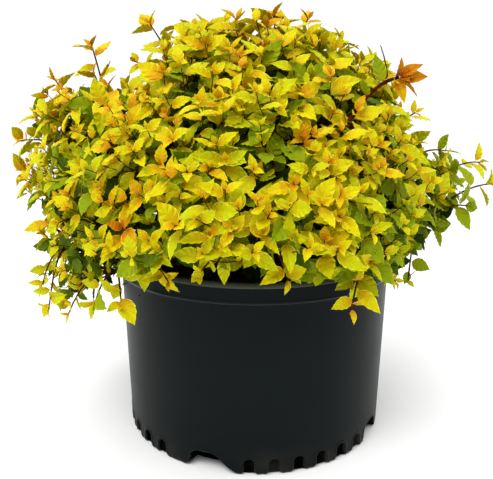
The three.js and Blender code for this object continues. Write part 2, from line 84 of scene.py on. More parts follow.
camera_data = bpy.data.cameras.new("camera")
camera_data.lens = CAMERA_LENS
camera_data.sensor_width = 36
camera = add_object("camera", camera_data)
camera.location = CAMERA_PLACE
camera.rotation_euler = (math.radians(90 - CAMERA_LOOKS_DOWN), 0, 0)
bpy.context.scene.camera = camera
print(f"camera {CAMERA_LENS} mm, {abs(CAMERA_PLACE[1]):.2f} m in front")

# %% [markdown]
# ## Tools for nodes
#
# Materials and repeated shapes are both made of nodes, and a tree of nodes is easier to read as a
# formula than as a list of links. The small class Value stands for one output of a node, and sums on it
# add Math nodes. Every other node comes from one method of Bench, which takes the node's kind, its
# settings, and then the values or links of its sockets.

# %% Value and Bench
class Value:
    """One output of a node. Arithmetic on it adds Math nodes to the same tree."""

    def __init__(self, bench, socket):
        self.bench, self.socket = bench, socket

    def of(self, name):
        """Another output of the same node."""
        return Value(self.bench, self.socket.node.outputs[name])


def operator(operation, reflected):
    """What Value does for one sign. The reflected form has the plain number first, as in 1 - mask."""
    def calculate(self, other):
        first, second = (other, self) if reflected else (self, other)
        return self.bench.node("ShaderNodeMath", {"operation": operation}, {0: first, 1: second})
    return calculate


for sign, operation in (("add", "ADD"), ("sub", "SUBTRACT"), ("mul", "MULTIPLY"), ("truediv", "DIVIDE")):
    setattr(Value, f"__{sign}__", operator(operation, False))
    setattr(Value, f"__r{sign}__", operator(operation, True))


class Bench:
    """Adds nodes to one tree, whether it belongs to a material or to geometry."""

    def __init__(self, tree):
        self.tree = tree

    def node(self, kind, settings=None, sockets=None):
        made = self.tree.nodes.new(kind)
        for name, value in (settings or {}).items():
            if name == "stops":
                self.set_stops(made.color_ramp, value)
            else:
                setattr(made, name, value)
        for key, value in (sockets or {}).items():
            target = self.input_of(made, key)
            if isinstance(value, Value):
                self.tree.links.new(value.socket, target)
            else:
                target.default_value = value
        outputs = [socket for socket in made.outputs if socket.enabled]
        return Value(self, outputs[0]) if outputs else made

    @staticmethod
    def input_of(made, key):
        """An input by its number, or by its name among those that the settings leave in use."""
        if isinstance(key, int):
            return made.inputs[key]
        return next(socket for socket in made.inputs if socket.enabled and socket.name == key)

    @staticmethod
    def set_stops(ramp, stops):
        while len(ramp.elements) < len(stops):
            ramp.elements.new(0.5)
        for element, (place, colour) in zip(ramp.elements, stops):
            element.position = place
            element.color = colour


print("nodes come from Value and Bench")

# %% [markdown]
# Every material starts from an empty tree and ends in one Principled shader, so both ends have a helper.
# Colours are written as a screen shows them, from 0 to 255, and turned into the light that they stand
# for. Two small formulas are used often: how far a vector points up, and a smooth fade between two
# values.

# %% Start and finish a material
def colour_of(red, green, blue):
    """A colour for a shader from the 0 to 255 that a screen shows."""
    return tuple((channel / 255) ** 2.2 for channel in (red, green, blue)) + (1.0,)


def clear_bench(owner):
    """A bench on the emptied tree of a material or a world."""
    owner.use_nodes = True
    owner.node_tree.nodes.clear()
    return Bench(owner.node_tree)


def begin_material(name):
    material = bpy.data.materials.new(name)
    return material, clear_bench(material)


def finish_material(bench, sockets):
    shader = bench.node("ShaderNodeBsdfPrincipled", sockets=sockets)
    bench.node("ShaderNodeOutputMaterial", sockets={"Surface": shader})


def upward(bench, vector):
    """The part of a vector that points up."""
    return bench.node("ShaderNodeSeparateXYZ", sockets={"Vector": vector}).of("Z")


def fade_in(bench, value, start, end):
    """0 before start, 1 after end, and smooth between."""
    settings = {"interpolation_type": "SMOOTHSTEP"}
    return bench.node("ShaderNodeMapRange", settings, {"Value": value, "From Min": start, "From Max": end})


print(f"a mid grey gives back {colour_of(128, 128, 128)[0]:.0%} of the light")

# %% [markdown]
# ## The stage
#
# The plant stands on a plain pale floor in soft white light, as in a seed merchant's studio. Light comes
# mostly from above, so that the leaves have bright tops and dark gaps between them, while a black pot
# mirrors the darker sides of the room. The view itself sees the room as plain white. The floor is a
# disc that fades out at its rim, so that no horizon shows.

# %% Floor, world and lamps
FLOOR_RADIUS = 2.4
FLOOR_FADES_FROM = 0.9
FLOOR_BELOW = 0.2 * MM
ROOM_SIDES = 0.4  # brightness of the room at eye level
ROOM_ABOVE = 1.95  # and straight above
ROOM_SEEN = 1.1  # and as the view itself sees it

world = bpy.data.worlds.new("white_room")
room = clear_bench(world)
upwards = upward(room, room.node("ShaderNodeTexCoord").of("Generated"))
overhead = room.node("ShaderNodeMath", {"operation": "MAXIMUM"}, {0: upwards, 1: 0.0})
brightness = ROOM_SIDES + (ROOM_ABOVE - ROOM_SIDES) * overhead * overhead
seen = room.node("ShaderNodeLightPath").of("Is Camera Ray")
glow = room.node("ShaderNodeBackground", sockets={
    "Color": (1.0, 1.0, 1.0, 1.0), "Strength": brightness + seen * (ROOM_SEEN - brightness),
})
room.node("ShaderNodeOutputWorld", sockets={"Surface": glow})
bpy.context.scene.world = world
bpy.context.scene.view_settings.view_transform = "Standard"

floor_material, boards = begin_material("pale_floor")
floor_place = boards.node("ShaderNodeTexCoord").of("Object")
from_middle = boards.node("ShaderNodeVectorMath", {"operation": "LENGTH"}, {0: floor_place}).of("Value")
finish_material(boards, {
    "Base Color": (0.96, 0.96, 0.96, 1.0), "Roughness": 0.9, "Specular IOR Level": 0.0,
    "Alpha": 1 - fade_in(boards, from_middle, FLOOR_FADES_FROM, FLOOR_RADIUS - 0.1),
})

FLOOR_SIDES = 96
turns = [2 * math.pi * k / FLOOR_SIDES for k in range(FLOOR_SIDES)]
floor_edge = [(FLOOR_RADIUS * math.cos(a), FLOOR_RADIUS * math.sin(a), -FLOOR_BELOW) for a in turns]
floor = add_object("floor", plain_mesh("floor", floor_edge, [], [list(range(FLOOR_SIDES))]), floor_material)


def add_lamp(name, place, aim, width, height, power):
    """A flat lamp of a given width and height at a place, turned towards a point."""
    lamp_data = bpy.data.lights.new(name, "AREA")
    lamp_data.shape = "RECTANGLE"
    lamp_data.size = width
    lamp_data.size_y = height
    lamp_data.energy = power
    lamp = add_object(name, lamp_data)
    lamp.location = place
    lamp.rotation_euler = (Vector(aim) - Vector(place)).to_track_quat("-Z", "Y").to_euler()


add_lamp("key_lamp", (-0.7, -1.3, 1.9), (0, 0, 0.25), 1.5, 0.7, 28.4)
add_lamp("left_lamp", (-1.9, 0.1, 0.5), (0, 0, 0.15), 0.9, 0.9, 3.5)
add_lamp("right_lamp", (1.9, 0.3, 0.6), (0, 0, 0.15), 0.9, 0.9, 5)
print("stage: floor, room and three lamps")

# %% [markdown]
# ## The finishes of the pot and of the mix
#
# The pot is blown from black polyethylene. Its skin is satin: close to black in front, with a soft grey
# sheen where the wall turns away. Handling leaves it very slightly cloudy, and a film of dust gathers
# round the foot. One function makes all four plastics, because they differ only in colour and polish:
# the wall, the rim that hands have rubbed, the lip's outer edge, which is paler as a painted highlight,
# and the niches and the underside, which are near black as painted shade. The mix is composted bark, in
# damp dark browns.

# %% Plastic, mix and bark materials
DUST_COLOUR = (70, 66, 58)
DUST_HEIGHTS = (2 * MM, 34 * MM)  # where it begins to thin out, and where it ends


def grain(bench, size, detail=2.0, place=None):
    """Cloudy noise with patches of a given size, from 0 to 1."""
    place = place or bench.node("ShaderNodeTexCoord").of("Object")
    return bench.node("ShaderNodeTexNoise", sockets={"Vector": place, "Scale": 1 / size, "Detail": detail})


def between(bench, first, second, share):
    """A colour between two colours."""
    return bench.node("ShaderNodeMix", {"data_type": "RGBA"}, {"Factor": share, "A": first, "B": second})


def bumped(bench, height, depth, strength):
    return bench.node("ShaderNodeBump", sockets={"Height": height, "Distance": depth, "Strength": strength})


def make_plastic(name, dark, pale, shine, polish):
    """Cloudy plastic between two colours. polish takes roughness away where hands have rubbed."""
    material, bench = begin_material(name)
    place = bench.node("ShaderNodeTexCoord").of("Object")
    clouds = grain(bench, 60 * MM, 3.0, place)
    pores = grain(bench, 0.7 * MM, 1.0, place)
    dust = (1 - fade_in(bench, upward(bench, place), *DUST_HEIGHTS)) * fade_in(bench, clouds, 0.42, 0.75)
    cloudy = between(bench, colour_of(*dark), colour_of(*pale), clouds)
    finish_material(bench, {
        "Base Color": between(bench, cloudy, colour_of(*DUST_COLOUR), dust * 0.4),
        "Roughness": (0.32 - polish) + clouds * 0.14 + dust * 0.2,
        "Specular IOR Level": shine,
        "Normal": bumped(bench, pores, 0.05 * MM, 0.35),
    })
    return material


def make_litter(name, dark, light, patch, detail, roughness, relief=0.0):
    """Crumbs or splinters of bark. relief is how deep their bumps are."""
    material, bench = begin_material(name)
    crumbs = grain(bench, patch, detail)
    sockets = {
        "Base Color": between(bench, colour_of(*dark), colour_of(*light), crumbs), "Roughness": roughness,
    }
    if relief:
        sockets["Normal"] = bumped(bench, crumbs, relief, 0.9)
    finish_material(bench, sockets)
    return material


def make_bark(name, dark, light, patch):
    material, bench = begin_material(name)
    streaks = grain(bench, patch, 4.0)
    worn = fade_in(bench, streaks, 0.35, 0.7)
    finish_material(bench, {
        "Base Color": between(bench, colour_of(*dark), colour_of(*light), worn),
        "Roughness": 0.62 + streaks * 0.25,
        "Specular IOR Level": 0.08,
        "Normal": bumped(bench, streaks, 0.25 * MM, 0.6),
    })
    return material


plastic = make_plastic("wall_plastic", (14, 20, 20), (20, 26, 26), 0.07, 0.0)
rim_plastic = make_plastic("rim_plastic", (14, 20, 20), (20, 26, 26), 0.24, 0.16)
# The lip's outer edge is a paler grey-green: a painted highlight.
lip_highlight_plastic = make_plastic("painted_highlight_plastic", (62, 66, 54), (88, 92, 76), 0.2, 0.0)
# The niches and the underside are near black: painted shade in the recesses and under the pot.
shade_painted_plastic = make_plastic("shade_painted_plastic", (4, 6, 6), (7, 9, 9), 0.0, 0.0)
mix_material = make_litter("damp_mix", (26, 19, 14), (78, 56, 38), 4 * MM, 4.0, 0.95, 1.2 * MM)
chip_material = make_litter("bark_chips", (58, 38, 26), (120, 86, 56), 2.2 * MM, 3.0, 0.9)
old_bark = make_bark("old_bark", (52, 32, 24), (118, 84, 60), 2.5 * MM)
young_bark = make_bark("young_bark", (46, 24, 14), (94, 50, 26), 4 * MM)
leader_wood = make_bark("leader_wood", (58, 16, 6), (104, 36, 12), 6 * MM)
plastics = [plastic, rim_plastic, lip_highlight_plastic, shade_painted_plastic]
made = [*plastics, mix_material, chip_material, old_bark, young_bark, leader_wood]
print("materials:", *[material.name for material in made])

# %% [markdown]
# ## Rings
#
# Pot, mix and stool are all round, so one function builds them: it takes rings of equally many points,
# from the middle of the underside out, up and back in to the middle again, and closes both ends with a
# pole. The rings run so that every face looks outwards. Working in whole rings leaves the radius free to
# change with the direction, which is what the niches in the pot's foot need.

# %% A closed mesh from rings
def ringed_mesh(name, rings):
    """rings: an array of rings, points and x, y, z in millimetres. The poles are the ends' middles."""
    count, around, _ = rings.shape
    poles = np.stack([rings[0].mean(axis=0), rings[-1].mean(axis=0)])
    points = np.concatenate([rings.reshape(-1, 3), poles]) * MM
    here = np.arange(around)
    onward = (here + 1) % around
    faces = []
    for ring in range(count - 1):
        low, high = ring * around, (ring + 1) * around
        faces += np.stack([low + here, low + onward, high + onward, high + here], axis=1).tolist()
    last, first_pole = (count - 1) * around, count * around
    faces += np.stack([np.full(around, first_pole), onward, here], axis=1).tolist()
    faces += np.stack([last + here, last + onward, np.full(around, first_pole + 1)], axis=1).tolist()
    mesh = plain_mesh(name, points.tolist(), [], faces)
    mesh.shade_smooth()
    return mesh


def turn_rings(radius, height, azimuths):
    """Rings from an array of radii, one for each ring and direction, and a height for each ring."""
    return np.stack([
        radius * np.cos(azimuths),
        radius * np.sin(azimuths),
        np.broadcast_to(height[:, None], radius.shape),
    ], axis=2)


def turn_profile(profile, columns):
    """Rings from a profile of radii and heights that is the same all round."""
    azimuths = np.linspace(0, 2 * math.pi, columns, endpoint=False)
    return turn_rings(np.repeat(profile[:, :1], columns, axis=1), profile[:, 1], azimuths)


print("rings become closed meshes")

# %% [markdown]
# ## The pot
#
# A nursery pot is one thin shell with a rim band, a bead along the band's lower edge and a rolled lip.
# Round its foot run narrow flutes that stiffen it, and four wider arches let water out. Blown plastic
# has no sharp edge, so the niches are pressed into the wall with a soft border instead of being cut.
# Cutting would leave hard edges that then need a bevel on curved ground. Towards the floor a niche's
# sides spread. Every second arch spreads less, and stands a little to one side of its even place.

# %% The pot's sizes
POT_HEIGHT = 186.0
RIM_RADIUS = 140.5
RIM_BAND_HEIGHT = 19.0
LIP_REACH = 8.0
LIP_ROLL = 4.2
LIP_HIGHLIGHT_WIDTH = 4.0  # how far in from its edge the lip has a painted highlight
BAND_STEP = 2.0
BAND_BEAD = 0.7
FOOT_RADIUS = 134.0
FOOT_ROUNDING = 3.5
SHELL = 2.0

# flare: how far each side spreads at the floor, and from what height down. corner: 2 gives an ellipse
# for the head of a niche, and more than that a squarer one. ring: how far the wall stands up round it.
FLUTE = {
    "width": 9.4, "height": 15.5, "depth": 2.2, "flare": ((2.0, 6.0), (2.0, 6.0)), "corner": 2.2,
    "ring": 0.5,
}
FLUTES_PER_QUARTER = 6
FLUTE_PITCH = 10.1  # degrees
FLUTES_FROM_ARCH = 43.6  # degrees from an arch to the middle of the flutes after it
ARCH = {
    "width": 27.0, "height": 18.0, "depth": 17.0, "flare": ((7.5, 9.0), (17.0, 20.0)), "corner": 3.5,
    "ring": 0.35,
}
ARCH_NARROW = ARCH | {"flare": ((3.0, 9.0), (8.0, 14.0))}
ARCHES = 4
FIRST_ARCH = -111.0
ARCH_SHIFT = 8.5  # degrees, for every second arch
NICHE_HEAD = 0.8  # share of a niche's height that its rounded head takes at most
NICHE_BORDER = 1.2  # half the width of a niche's soft edge
RING_OUT, RING_WIDTH = 2.0, 1.1  # how far outside the niche its ring runs, and how wide it is

BAND_FOOT = POT_HEIGHT - RIM_BAND_HEIGHT
WALL_TOP_RADIUS = RIM_RADIUS - BAND_STEP
LIP_INNER_RADIUS = RIM_RADIUS - LIP_REACH
POT_COLUMNS = 1000


def wall_radius(height):
    return FOOT_RADIUS + (WALL_TOP_RADIUS - FOOT_RADIUS) * height / BAND_FOOT


def smooth_step(value):
    held = np.clip(value, 0, 1)
    return held * held * (3 - 2 * held)


def into_niche(niche, azimuths, middle, heights, grow):
    """How many millimetres each point of the wall lies inside the niche's outline, or outside it."""
    half = niche["width"] / 2 + grow
    rise = min(half, NICHE_HEAD * niche["height"])
    spring = niche["height"] + grow - rise
    turn = (azimuths - math.radians(middle) + math.pi) % (2 * math.pi) - math.pi
    spread = [reach * np.clip(1 - heights / start, 0, 1)[:, None] ** 2 for reach, start in niche["flare"]]
    flared = half + np.where(turn[None, :] < 0, *spread)
    across = np.abs(FOOT_RADIUS * turn[None, :] / flared)
    above = np.maximum(heights[:, None] - spring, 0) / rise
    corner = niche["corner"]
    return half * (1 - (across**corner + above**corner) ** (1 / corner))


def foot_rounding(height):
    down = np.clip(FOOT_ROUNDING - height, 0, FOOT_ROUNDING)
    return FOOT_ROUNDING - np.sqrt(FOOT_ROUNDING**2 - down**2)


print(f"pot {POT_HEIGHT:.0f} mm tall, {2 * RIM_RADIUS:.0f} mm across its rim")

# %% [markdown]
# The wall is one grid of radii, a row for each height and a column for each azimuth. A niche is pressed
# into it where the grid lies inside the niche's outline, and its soft border comes from a smooth step
# across that outline. The rim has no niches, so it is a plain profile, drawn point by point.

# %% Press the niches in
quarters = [FIRST_ARCH + 360 / ARCHES * k for k in range(ARCHES)]
arch_middles = [quarter - ARCH_SHIFT * (k % 2) for k, quarter in enumerate(quarters)]
arch_kinds = [(ARCH, arch_middles[0::2]), (ARCH_NARROW, arch_middles[1::2])]
flute_middles = [
    quarter + FLUTES_FROM_ARCH + FLUTE_PITCH * (k - (FLUTES_PER_QUARTER - 1) / 2)
    for quarter in quarters
    for k in range(FLUTES_PER_QUARTER)
]
pot_azimuths = np.linspace(0, 2 * math.pi, POT_COLUMNS, endpoint=False)


def press_niches(radius, heights, grow, kinds):
    """The wall's radii after each niche of these kinds has been pressed in."""
    for niche, middles in kinds:
        back = FOOT_RADIUS - niche["depth"] - grow - foot_rounding(heights)[:, None]
        for middle in middles:
            inside = into_niche(niche, pot_azimuths, middle, heights, grow)
            share = smooth_step((inside + NICHE_BORDER) / (2 * NICHE_BORDER))
            ring = niche["ring"] * np.exp(-(((inside + RING_OUT) / RING_WIDTH) ** 2))
            radius = radius + (np.minimum(back, radius) - radius) * share + ring
    return radius


def outer_wall():
    """Heights and radii of the outside, from the foot's edge to the bead."""
    heights = np.concatenate([
        FOOT_ROUNDING * (1 - np.cos(np.linspace(0, math.pi / 2, 6)[:-1])),
        np.linspace(FOOT_ROUNDING, 22, 26),
        np.linspace(30, BAND_FOOT - 3, 10),
    ])
    plain = wall_radius(heights) - foot_rounding(heights)
    radius = np.repeat(plain[:, None], POT_COLUMNS, axis=1)
    return heights, press_niches(radius, heights, 0, [(FLUTE, flute_middles)] + arch_kinds)


def rim_profile():
    """The band, its bead and the rolled lip, as radius and height."""
    bead = [
        (WALL_TOP_RADIUS, -1.6), (WALL_TOP_RADIUS + 0.5, -0.9), (RIM_RADIUS - 0.3, -0.2),
        (RIM_RADIUS + 0.8 * BAND_BEAD, 0.5), (RIM_RADIUS + BAND_BEAD, 1.2),
        (RIM_RADIUS + 0.7 * BAND_BEAD, 2.0), (RIM_RADIUS + 0.1, 2.9), (RIM_RADIUS, 4.0),
    ]
    band = [(radius, BAND_FOOT + above) for radius, above in bead]
    band += [(RIM_RADIUS, BAND_FOOT + 9), (RIM_RADIUS, POT_HEIGHT - LIP_ROLL - 1)]
    middle = (RIM_RADIUS + LIP_INNER_RADIUS) / 2
    lip = [(RIM_RADIUS, POT_HEIGHT - LIP_ROLL), (RIM_RADIUS - 0.2, POT_HEIGHT - 0.75 * LIP_ROLL)]
    lip += [(RIM_RADIUS - 0.9, POT_HEIGHT - 0.4 * LIP_ROLL), (RIM_RADIUS - 2.1, POT_HEIGHT - 0.6)]
    lip += [
        (middle + LIP_REACH / 2 * math.cos(a), POT_HEIGHT - LIP_ROLL + LIP_ROLL * math.sin(a))
        for a in np.linspace(0.42 * math.pi, math.pi, 8)
    ]
    inner = [(LIP_INNER_RADIUS, BAND_FOOT + 1), (LIP_INNER_RADIUS + 1.5, BAND_FOOT - 1.5)]
    return band + lip + inner


def inner_wall():
    """Heights and radii of the inside, from under the band down to the floor's edge."""
    behind_flutes = FOOT_RADIUS - FLUTE["depth"] - SHELL
    flute_top = FLUTE["height"] + SHELL
    heights = np.concatenate([[BAND_FOOT - 4], np.linspace(120, 30, 4), np.linspace(23, SHELL, 15)])
    plain = np.where(heights > flute_top + 4, wall_radius(heights) - SHELL, behind_flutes)
    radius = np.repeat(plain[:, None], POT_COLUMNS, axis=1)
    return heights, press_niches(radius, heights, SHELL, arch_kinds)


print(f"{len(flute_middles)} flutes and {len(arch_middles)} arches round the foot")

# %% [markdown]
# The shell is closed: it goes up the outside, over the lip, down the inside and across the floor, as one
# stack of rings. Its plastic isn't the same all over: the lip's outer edge has a painted highlight, the
# band is rubbed, and the niches and the underside are darkened with painted shade, so each face gets its
# material by where it is.

# %% Build the shell
wall_heights, wall_radii = outer_wall()
rim = np.array(rim_profile())
inside_heights, inside_radii = inner_wall()
rim_radii = np.repeat(rim[:, :1], POT_COLUMNS, axis=1)
underside = [share * wall_radii[0] for share in (0.3, 0.7, 0.93)]
inside_floor = [share * inside_radii[-1] for share in (0.9, 0.5)]
pot_radii = np.concatenate([underside, wall_radii, rim_radii, inside_radii, inside_floor])
pot_heights = np.concatenate([[0, 0, 0], wall_heights, rim[:, 1], inside_heights, [SHELL, SHELL]])
pot_mesh = ringed_mesh("pot_shell", turn_rings(pot_radii, pot_heights, pot_azimuths))
pot_shell = add_object("pot_shell", pot_mesh, *plastics)
NICHE_INSET = 1.2  # a face this far inside the wall belongs to a niche
for part in pot_mesh.polygons:
    out, up = math.hypot(part.center.x, part.center.y) / MM, part.center.z / MM
    # The lip's outer edge gets the paler plastic, a painted highlight.
    if up > POT_HEIGHT - LIP_ROLL and out > RIM_RADIUS - LIP_HIGHLIGHT_WIDTH:
        part.material_index = plastics.index(lip_highlight_plastic)
    elif out > RIM_RADIUS + 0.15 and up > BAND_FOOT - 2:
        part.material_index = plastics.index(rim_plastic)
    # The niches and the underside get the near-black plastic, painted shade.
    elif up < 1 or (up < ARCH["height"] + 2 and out < wall_radius(up) - NICHE_INSET):
        part.material_index = plastics.index(shade_painted_plastic)
print(f"pot shell: {len(pot_mesh.polygons)} faces")

# %% [markdown]
# Each arch's ceiling has a round hole for water. A Boolean modifier takes four short bores out of the
# shell, which is quick because both meshes are closed. Its result is made the piece's own mesh.

# %% Bore the drain holes
DRAIN_RADIUS = 5.0
DRAIN_INSET = 10.5  # from the foot's edge to the middle of the hole
DRAIN_LENGTH = 12.0
DRAIN_SIDES = 24


def make_bores():
    turns = np.linspace(0, 2 * math.pi, DRAIN_SIDES, endpoint=False)
    bottom, top = ARCH["height"] - DRAIN_LENGTH / 2, ARCH["height"] + DRAIN_LENGTH / 2
    points, faces = [], []
    for middle in arch_middles:
        out = FOOT_RADIUS - DRAIN_INSET
        x, y = out * math.cos(math.radians(middle)), out * math.sin(math.radians(middle))
        start = len(points)
        for height in (bottom, top):
            points += [
                ((x + DRAIN_RADIUS * math.cos(a)) * MM, (y + DRAIN_RADIUS * math.sin(a)) * MM, height * MM)
                for a in turns
            ]
        low = list(range(start, start + DRAIN_SIDES))
        high = [k + DRAIN_SIDES for k in low]
        faces += [low[::-1], high]
        faces += [list(side) for side in zip(low, low[1:] + low[:1], high[1:] + high[:1], high)]
    return add_object("bores", plain_mesh("bores", points, [], faces))


def result_of(piece):
    """What a piece's modifiers make of it, as a mesh of its own. The modifiers are taken off."""
    graph = bpy.context.evaluated_depsgraph_get()
    made = bpy.data.meshes.new_from_object(piece.evaluated_get(graph))
    piece.modifiers.clear()
    return made


bores = make_bores()
boring = pot_shell.modifiers.new("drains", "BOOLEAN")
boring.operation = "DIFFERENCE"
boring.solver = "MANIFOLD"
boring.object = bores
pot_shell.data = result_of(pot_shell)
bpy.data.meshes.remove(pot_mesh)
pot_shell.data.name = "pot_shell"
bpy.data.objects.remove(bores)
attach(pot_shell, BODY)
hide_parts("pot")
print(f"pot shell with drains: {len(pot_shell.data.polygons)} faces")

# %% [markdown]
# ## The potting mix
#
# The mix is a loose bed of composted bark that has settled a little unevenly, with coarser chips lying
# on it. The bed is a ringed mesh whose top is pushed up and down by noise. The chips repeat, so
# Geometry Nodes scatter them: points spread over the bed's top, each with one of three flat chips.

# %% The bed
MIX_TOP = 162.0
MIX_CLEARANCE = 0.4
MIX_COLUMNS = 120
MIX_HEAVE = 1.4  # how far the top rises and falls
MIX_WAVES = ((1, 17), (0.6, 5))  # how strong and how long its waves are


def waves_at(spot, waves):
    return sum(strength * noise.noise(Vector(spot) / length) for strength, length in waves)


def bed_rings():
    gap = SHELL + MIX_CLEARANCE
    shoulder = ARCH["height"] + SHELL + 4
    waist = FOOT_RADIUS - ARCH["depth"] - 2 * gap
    base = SHELL + 0.3
    side = [(waist / 2, base), (waist, base), (waist, shoulder), (wall_radius(shoulder) - gap, shoulder + 2)]
    edge = wall_radius(MIX_TOP) - gap
    side += [(edge, MIX_TOP - 5), (edge - 0.5, MIX_TOP - 3)]
    top = [(radius, MIX_TOP - 1.5) for radius in np.linspace(edge - 4, 4, 30)]
    rings = turn_profile(np.array(side + top), MIX_COLUMNS)
    for ring in rings[len(side):]:
        for spot in ring:
            spot[2] += MIX_HEAVE * waves_at(spot, MIX_WAVES)
    return rings


bed_mesh = ringed_mesh("mix_bed", bed_rings())
mix_bed = add_object("mix_bed", bed_mesh, mix_material)
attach(mix_bed, BODY)
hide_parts("potting_mix")
print(f"bed of mix: {len(bed_mesh.polygons)} faces")

# %% [markdown]
# A Geometry Nodes tree is built once and can be used by many objects. The helpers below add its inputs
# by name, end it with real geometry and its materials, and set a modifier's input by the socket's
# identifier, which is what Blender stores it under.

# %% Helpers for Geometry Nodes
SOCKETS = {
    "geometry": "NodeSocketGeometry",
    "whole": "NodeSocketInt",
    "number": "NodeSocketFloat",
    "material": "NodeSocketMaterial",
    "collection": "NodeSocketCollection",
}
OWN_ATTRIBUTES = {"outwards", "face", "size", "shape", "zone", "thickness"}  # not kept on a finished mesh


def begin_tree(name, inputs):
    """A tree with a geometry input and these named inputs. Gives the bench and the group's inputs."""
    tree = bpy.data.node_groups.new(name, "GeometryNodeTree")
    tree.interface.new_socket("Geometry", in_out="INPUT", socket_type=SOCKETS["geometry"])
    for label, kind in inputs.items():
        tree.interface.new_socket(label, in_out="INPUT", socket_type=SOCKETS[kind])
    tree.interface.new_socket("Geometry", in_out="OUTPUT", socket_type=SOCKETS["geometry"])
    bench = Bench(tree)
    return bench, bench.node("NodeGroupInput")


def finish_tree(bench, geometry, *finishes):
    """Makes instances real, gives each selection its material, and ends the tree."""
    geometry = bench.node("GeometryNodeRealizeInstances", sockets={"Geometry": geometry})
    for selection, material in finishes:
        geometry = bench.node("GeometryNodeSetMaterial", sockets={
            "Geometry": geometry, "Selection": selection, "Material": material,
        })
    bench.node("NodeGroupOutput", sockets={"Geometry": geometry})
    return bench.tree


def shapes_of(bench, collection):
    """The shapes in a collection as instances to pick from."""
    return bench.node("GeometryNodeCollectionInfo", sockets={
        "Collection": collection, "Separate Children": True, "Reset Children": True,
    })


def kept(bench, name, kind="FLOAT"):
    """A value that was stored on the points under a name."""
    return bench.node("GeometryNodeInputNamedAttribute", {"data_type": kind}, {"Name": name})


def grow_mesh(source, tree, inputs):
    """Runs a tree on an object and gives the result as a plain mesh."""
    modifier = source.modifiers.new(tree.name, "NODES")
    modifier.node_group = tree
    inlets = [item for item in tree.interface.items_tree if item.in_out == "INPUT"]
    identifiers = {item.name: item.identifier for item in inlets}
    for label, value in inputs.items():
        modifier[identifiers[label]] = value
    made = result_of(source)
    for name in [item.name for item in made.attributes if item.name in OWN_ATTRIBUTES]:
        made.attributes.remove(made.attributes[name])
    return made


def store(mesh, name, kind, values, domain="POINT"):
    """Keeps a value for each point or face of a mesh under a name."""
    field = "vector" if kind == "FLOAT_VECTOR" else "value"
    mesh.attributes.new(name, kind, domain).data.foreach_set(field, values)


print("Geometry Nodes trees take:", ", ".join(SOCKETS))

# %% [markdown]
# Potting mix has loose chips of composted bark on it. A few chips are modelled, and a tree strews copies
# of them over the bed's top, each turned and sized at random. That is far less work than setting them
# one by one, and how densely they lie is one value.

# %% Chips on the bed
CHIP_DENSITY = 26000  # to the square metre
CHIP_SHAPES = 3
CHIP_CORNERS = 6
CHIP_LAYERS = [(-0.6, 0.75), (0.0, 1.0), (0.7, 0.7)]  # height, and share of the full size
CHIP_LENGTH, CHIP_WIDTH = 3.4, 1.6  # from its middle
CHIP_SEED = 7
BED_EDGE = MIX_TOP - 8  # chips lie above this only


def make_chip(name, seed):
    """A flat splinter of bark with uneven corners."""
    draw = np.random.default_rng(seed)
    points, faces = [], []
    for height, share in CHIP_LAYERS:
        for k in range(CHIP_CORNERS):
            a = 2 * math.pi * k / CHIP_CORNERS
            reach = share * draw.uniform(0.75, 1.2)
            x, y = CHIP_LENGTH * reach * math.cos(a) * MM, CHIP_WIDTH * reach * math.sin(a) * MM
            points.append((x, y, height * MM))
    bottom, middle, top = [[layer * CHIP_CORNERS + k for k in range(CHIP_CORNERS)] for layer in range(3)]
    for low, high in ((bottom, middle), (middle, top)):
        faces += [list(side) for side in zip(low, low[1:] + low[:1], high[1:] + high[:1], high)]
    return add_object(name, plain_mesh(name, points, [], faces + [bottom[::-1], top]))


def gather(name, members):
    """A collection of shapes to pick from, which isn't in the scene itself."""
    group = bpy.data.collections.new(name)
    for member in members:
        for home in list(member.users_collection):
            home.objects.unlink(member)
        group.objects.link(member)
    return group


def chip_tree():
    bench, given = begin_tree(
        "scatter_chips",
        {"Chips": "collection", "Density": "number", "Seed": "whole", "Material": "material"},
    )
    level, high = [
        bench.node("FunctionNodeCompare", {"operation": "GREATER_THAN"}, {
            "A": upward(bench, bench.node(source)), "B": least,
        })
        for source, least in (("GeometryNodeInputNormal", 0.6), ("GeometryNodeInputPosition", BED_EDGE * MM))
    ]
    chosen = bench.node("FunctionNodeBooleanMath", {"operation": "AND"}, {0: level, 1: high})
    spots = bench.node("GeometryNodeDistributePointsOnFaces", sockets={
        "Mesh": given.of("Geometry"), "Selection": chosen, "Density": given.of("Density"),
        "Seed": given.of("Seed"),
    })
    tilt = bench.node("FunctionNodeRandomValue", {"data_type": "FLOAT_VECTOR"}, {
        "Min": (-0.5, -0.5, 0.0), "Max": (0.5, 0.5, 6.28), "Seed": given.of("Seed"),
    })
    size = bench.node("FunctionNodeRandomValue", {"data_type": "FLOAT"}, {
        "Min": 0.5, "Max": 1.5, "Seed": given.of("Seed") + 1,
    })
    laid = bench.node("GeometryNodeInstanceOnPoints", sockets={
        "Points": spots, "Instance": shapes_of(bench, given.of("Chips")), "Pick Instance": True,
        "Rotation": bench.node("FunctionNodeEulerToRotation", sockets={"Euler": tilt}), "Scale": size,
    })
    return finish_tree(bench, laid, (True, given.of("Material")))


chip_shapes = [make_chip(f"chip_{k}", 40 + k) for k in range(CHIP_SHAPES)]  # each with its own seed
chip_group = gather("chips", chip_shapes)
chips_mesh = grow_mesh(mix_bed, chip_tree(), {
    "Chips": chip_group, "Density": CHIP_DENSITY, "Seed": CHIP_SEED, "Material": chip_material,
})
mix_chips = add_object("mix_chips", chips_mesh)
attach(mix_chips, BODY)
for shape in chip_shapes:
    bpy.data.objects.remove(shape)
print(f"chips: {len(chips_mesh.polygons)} faces")

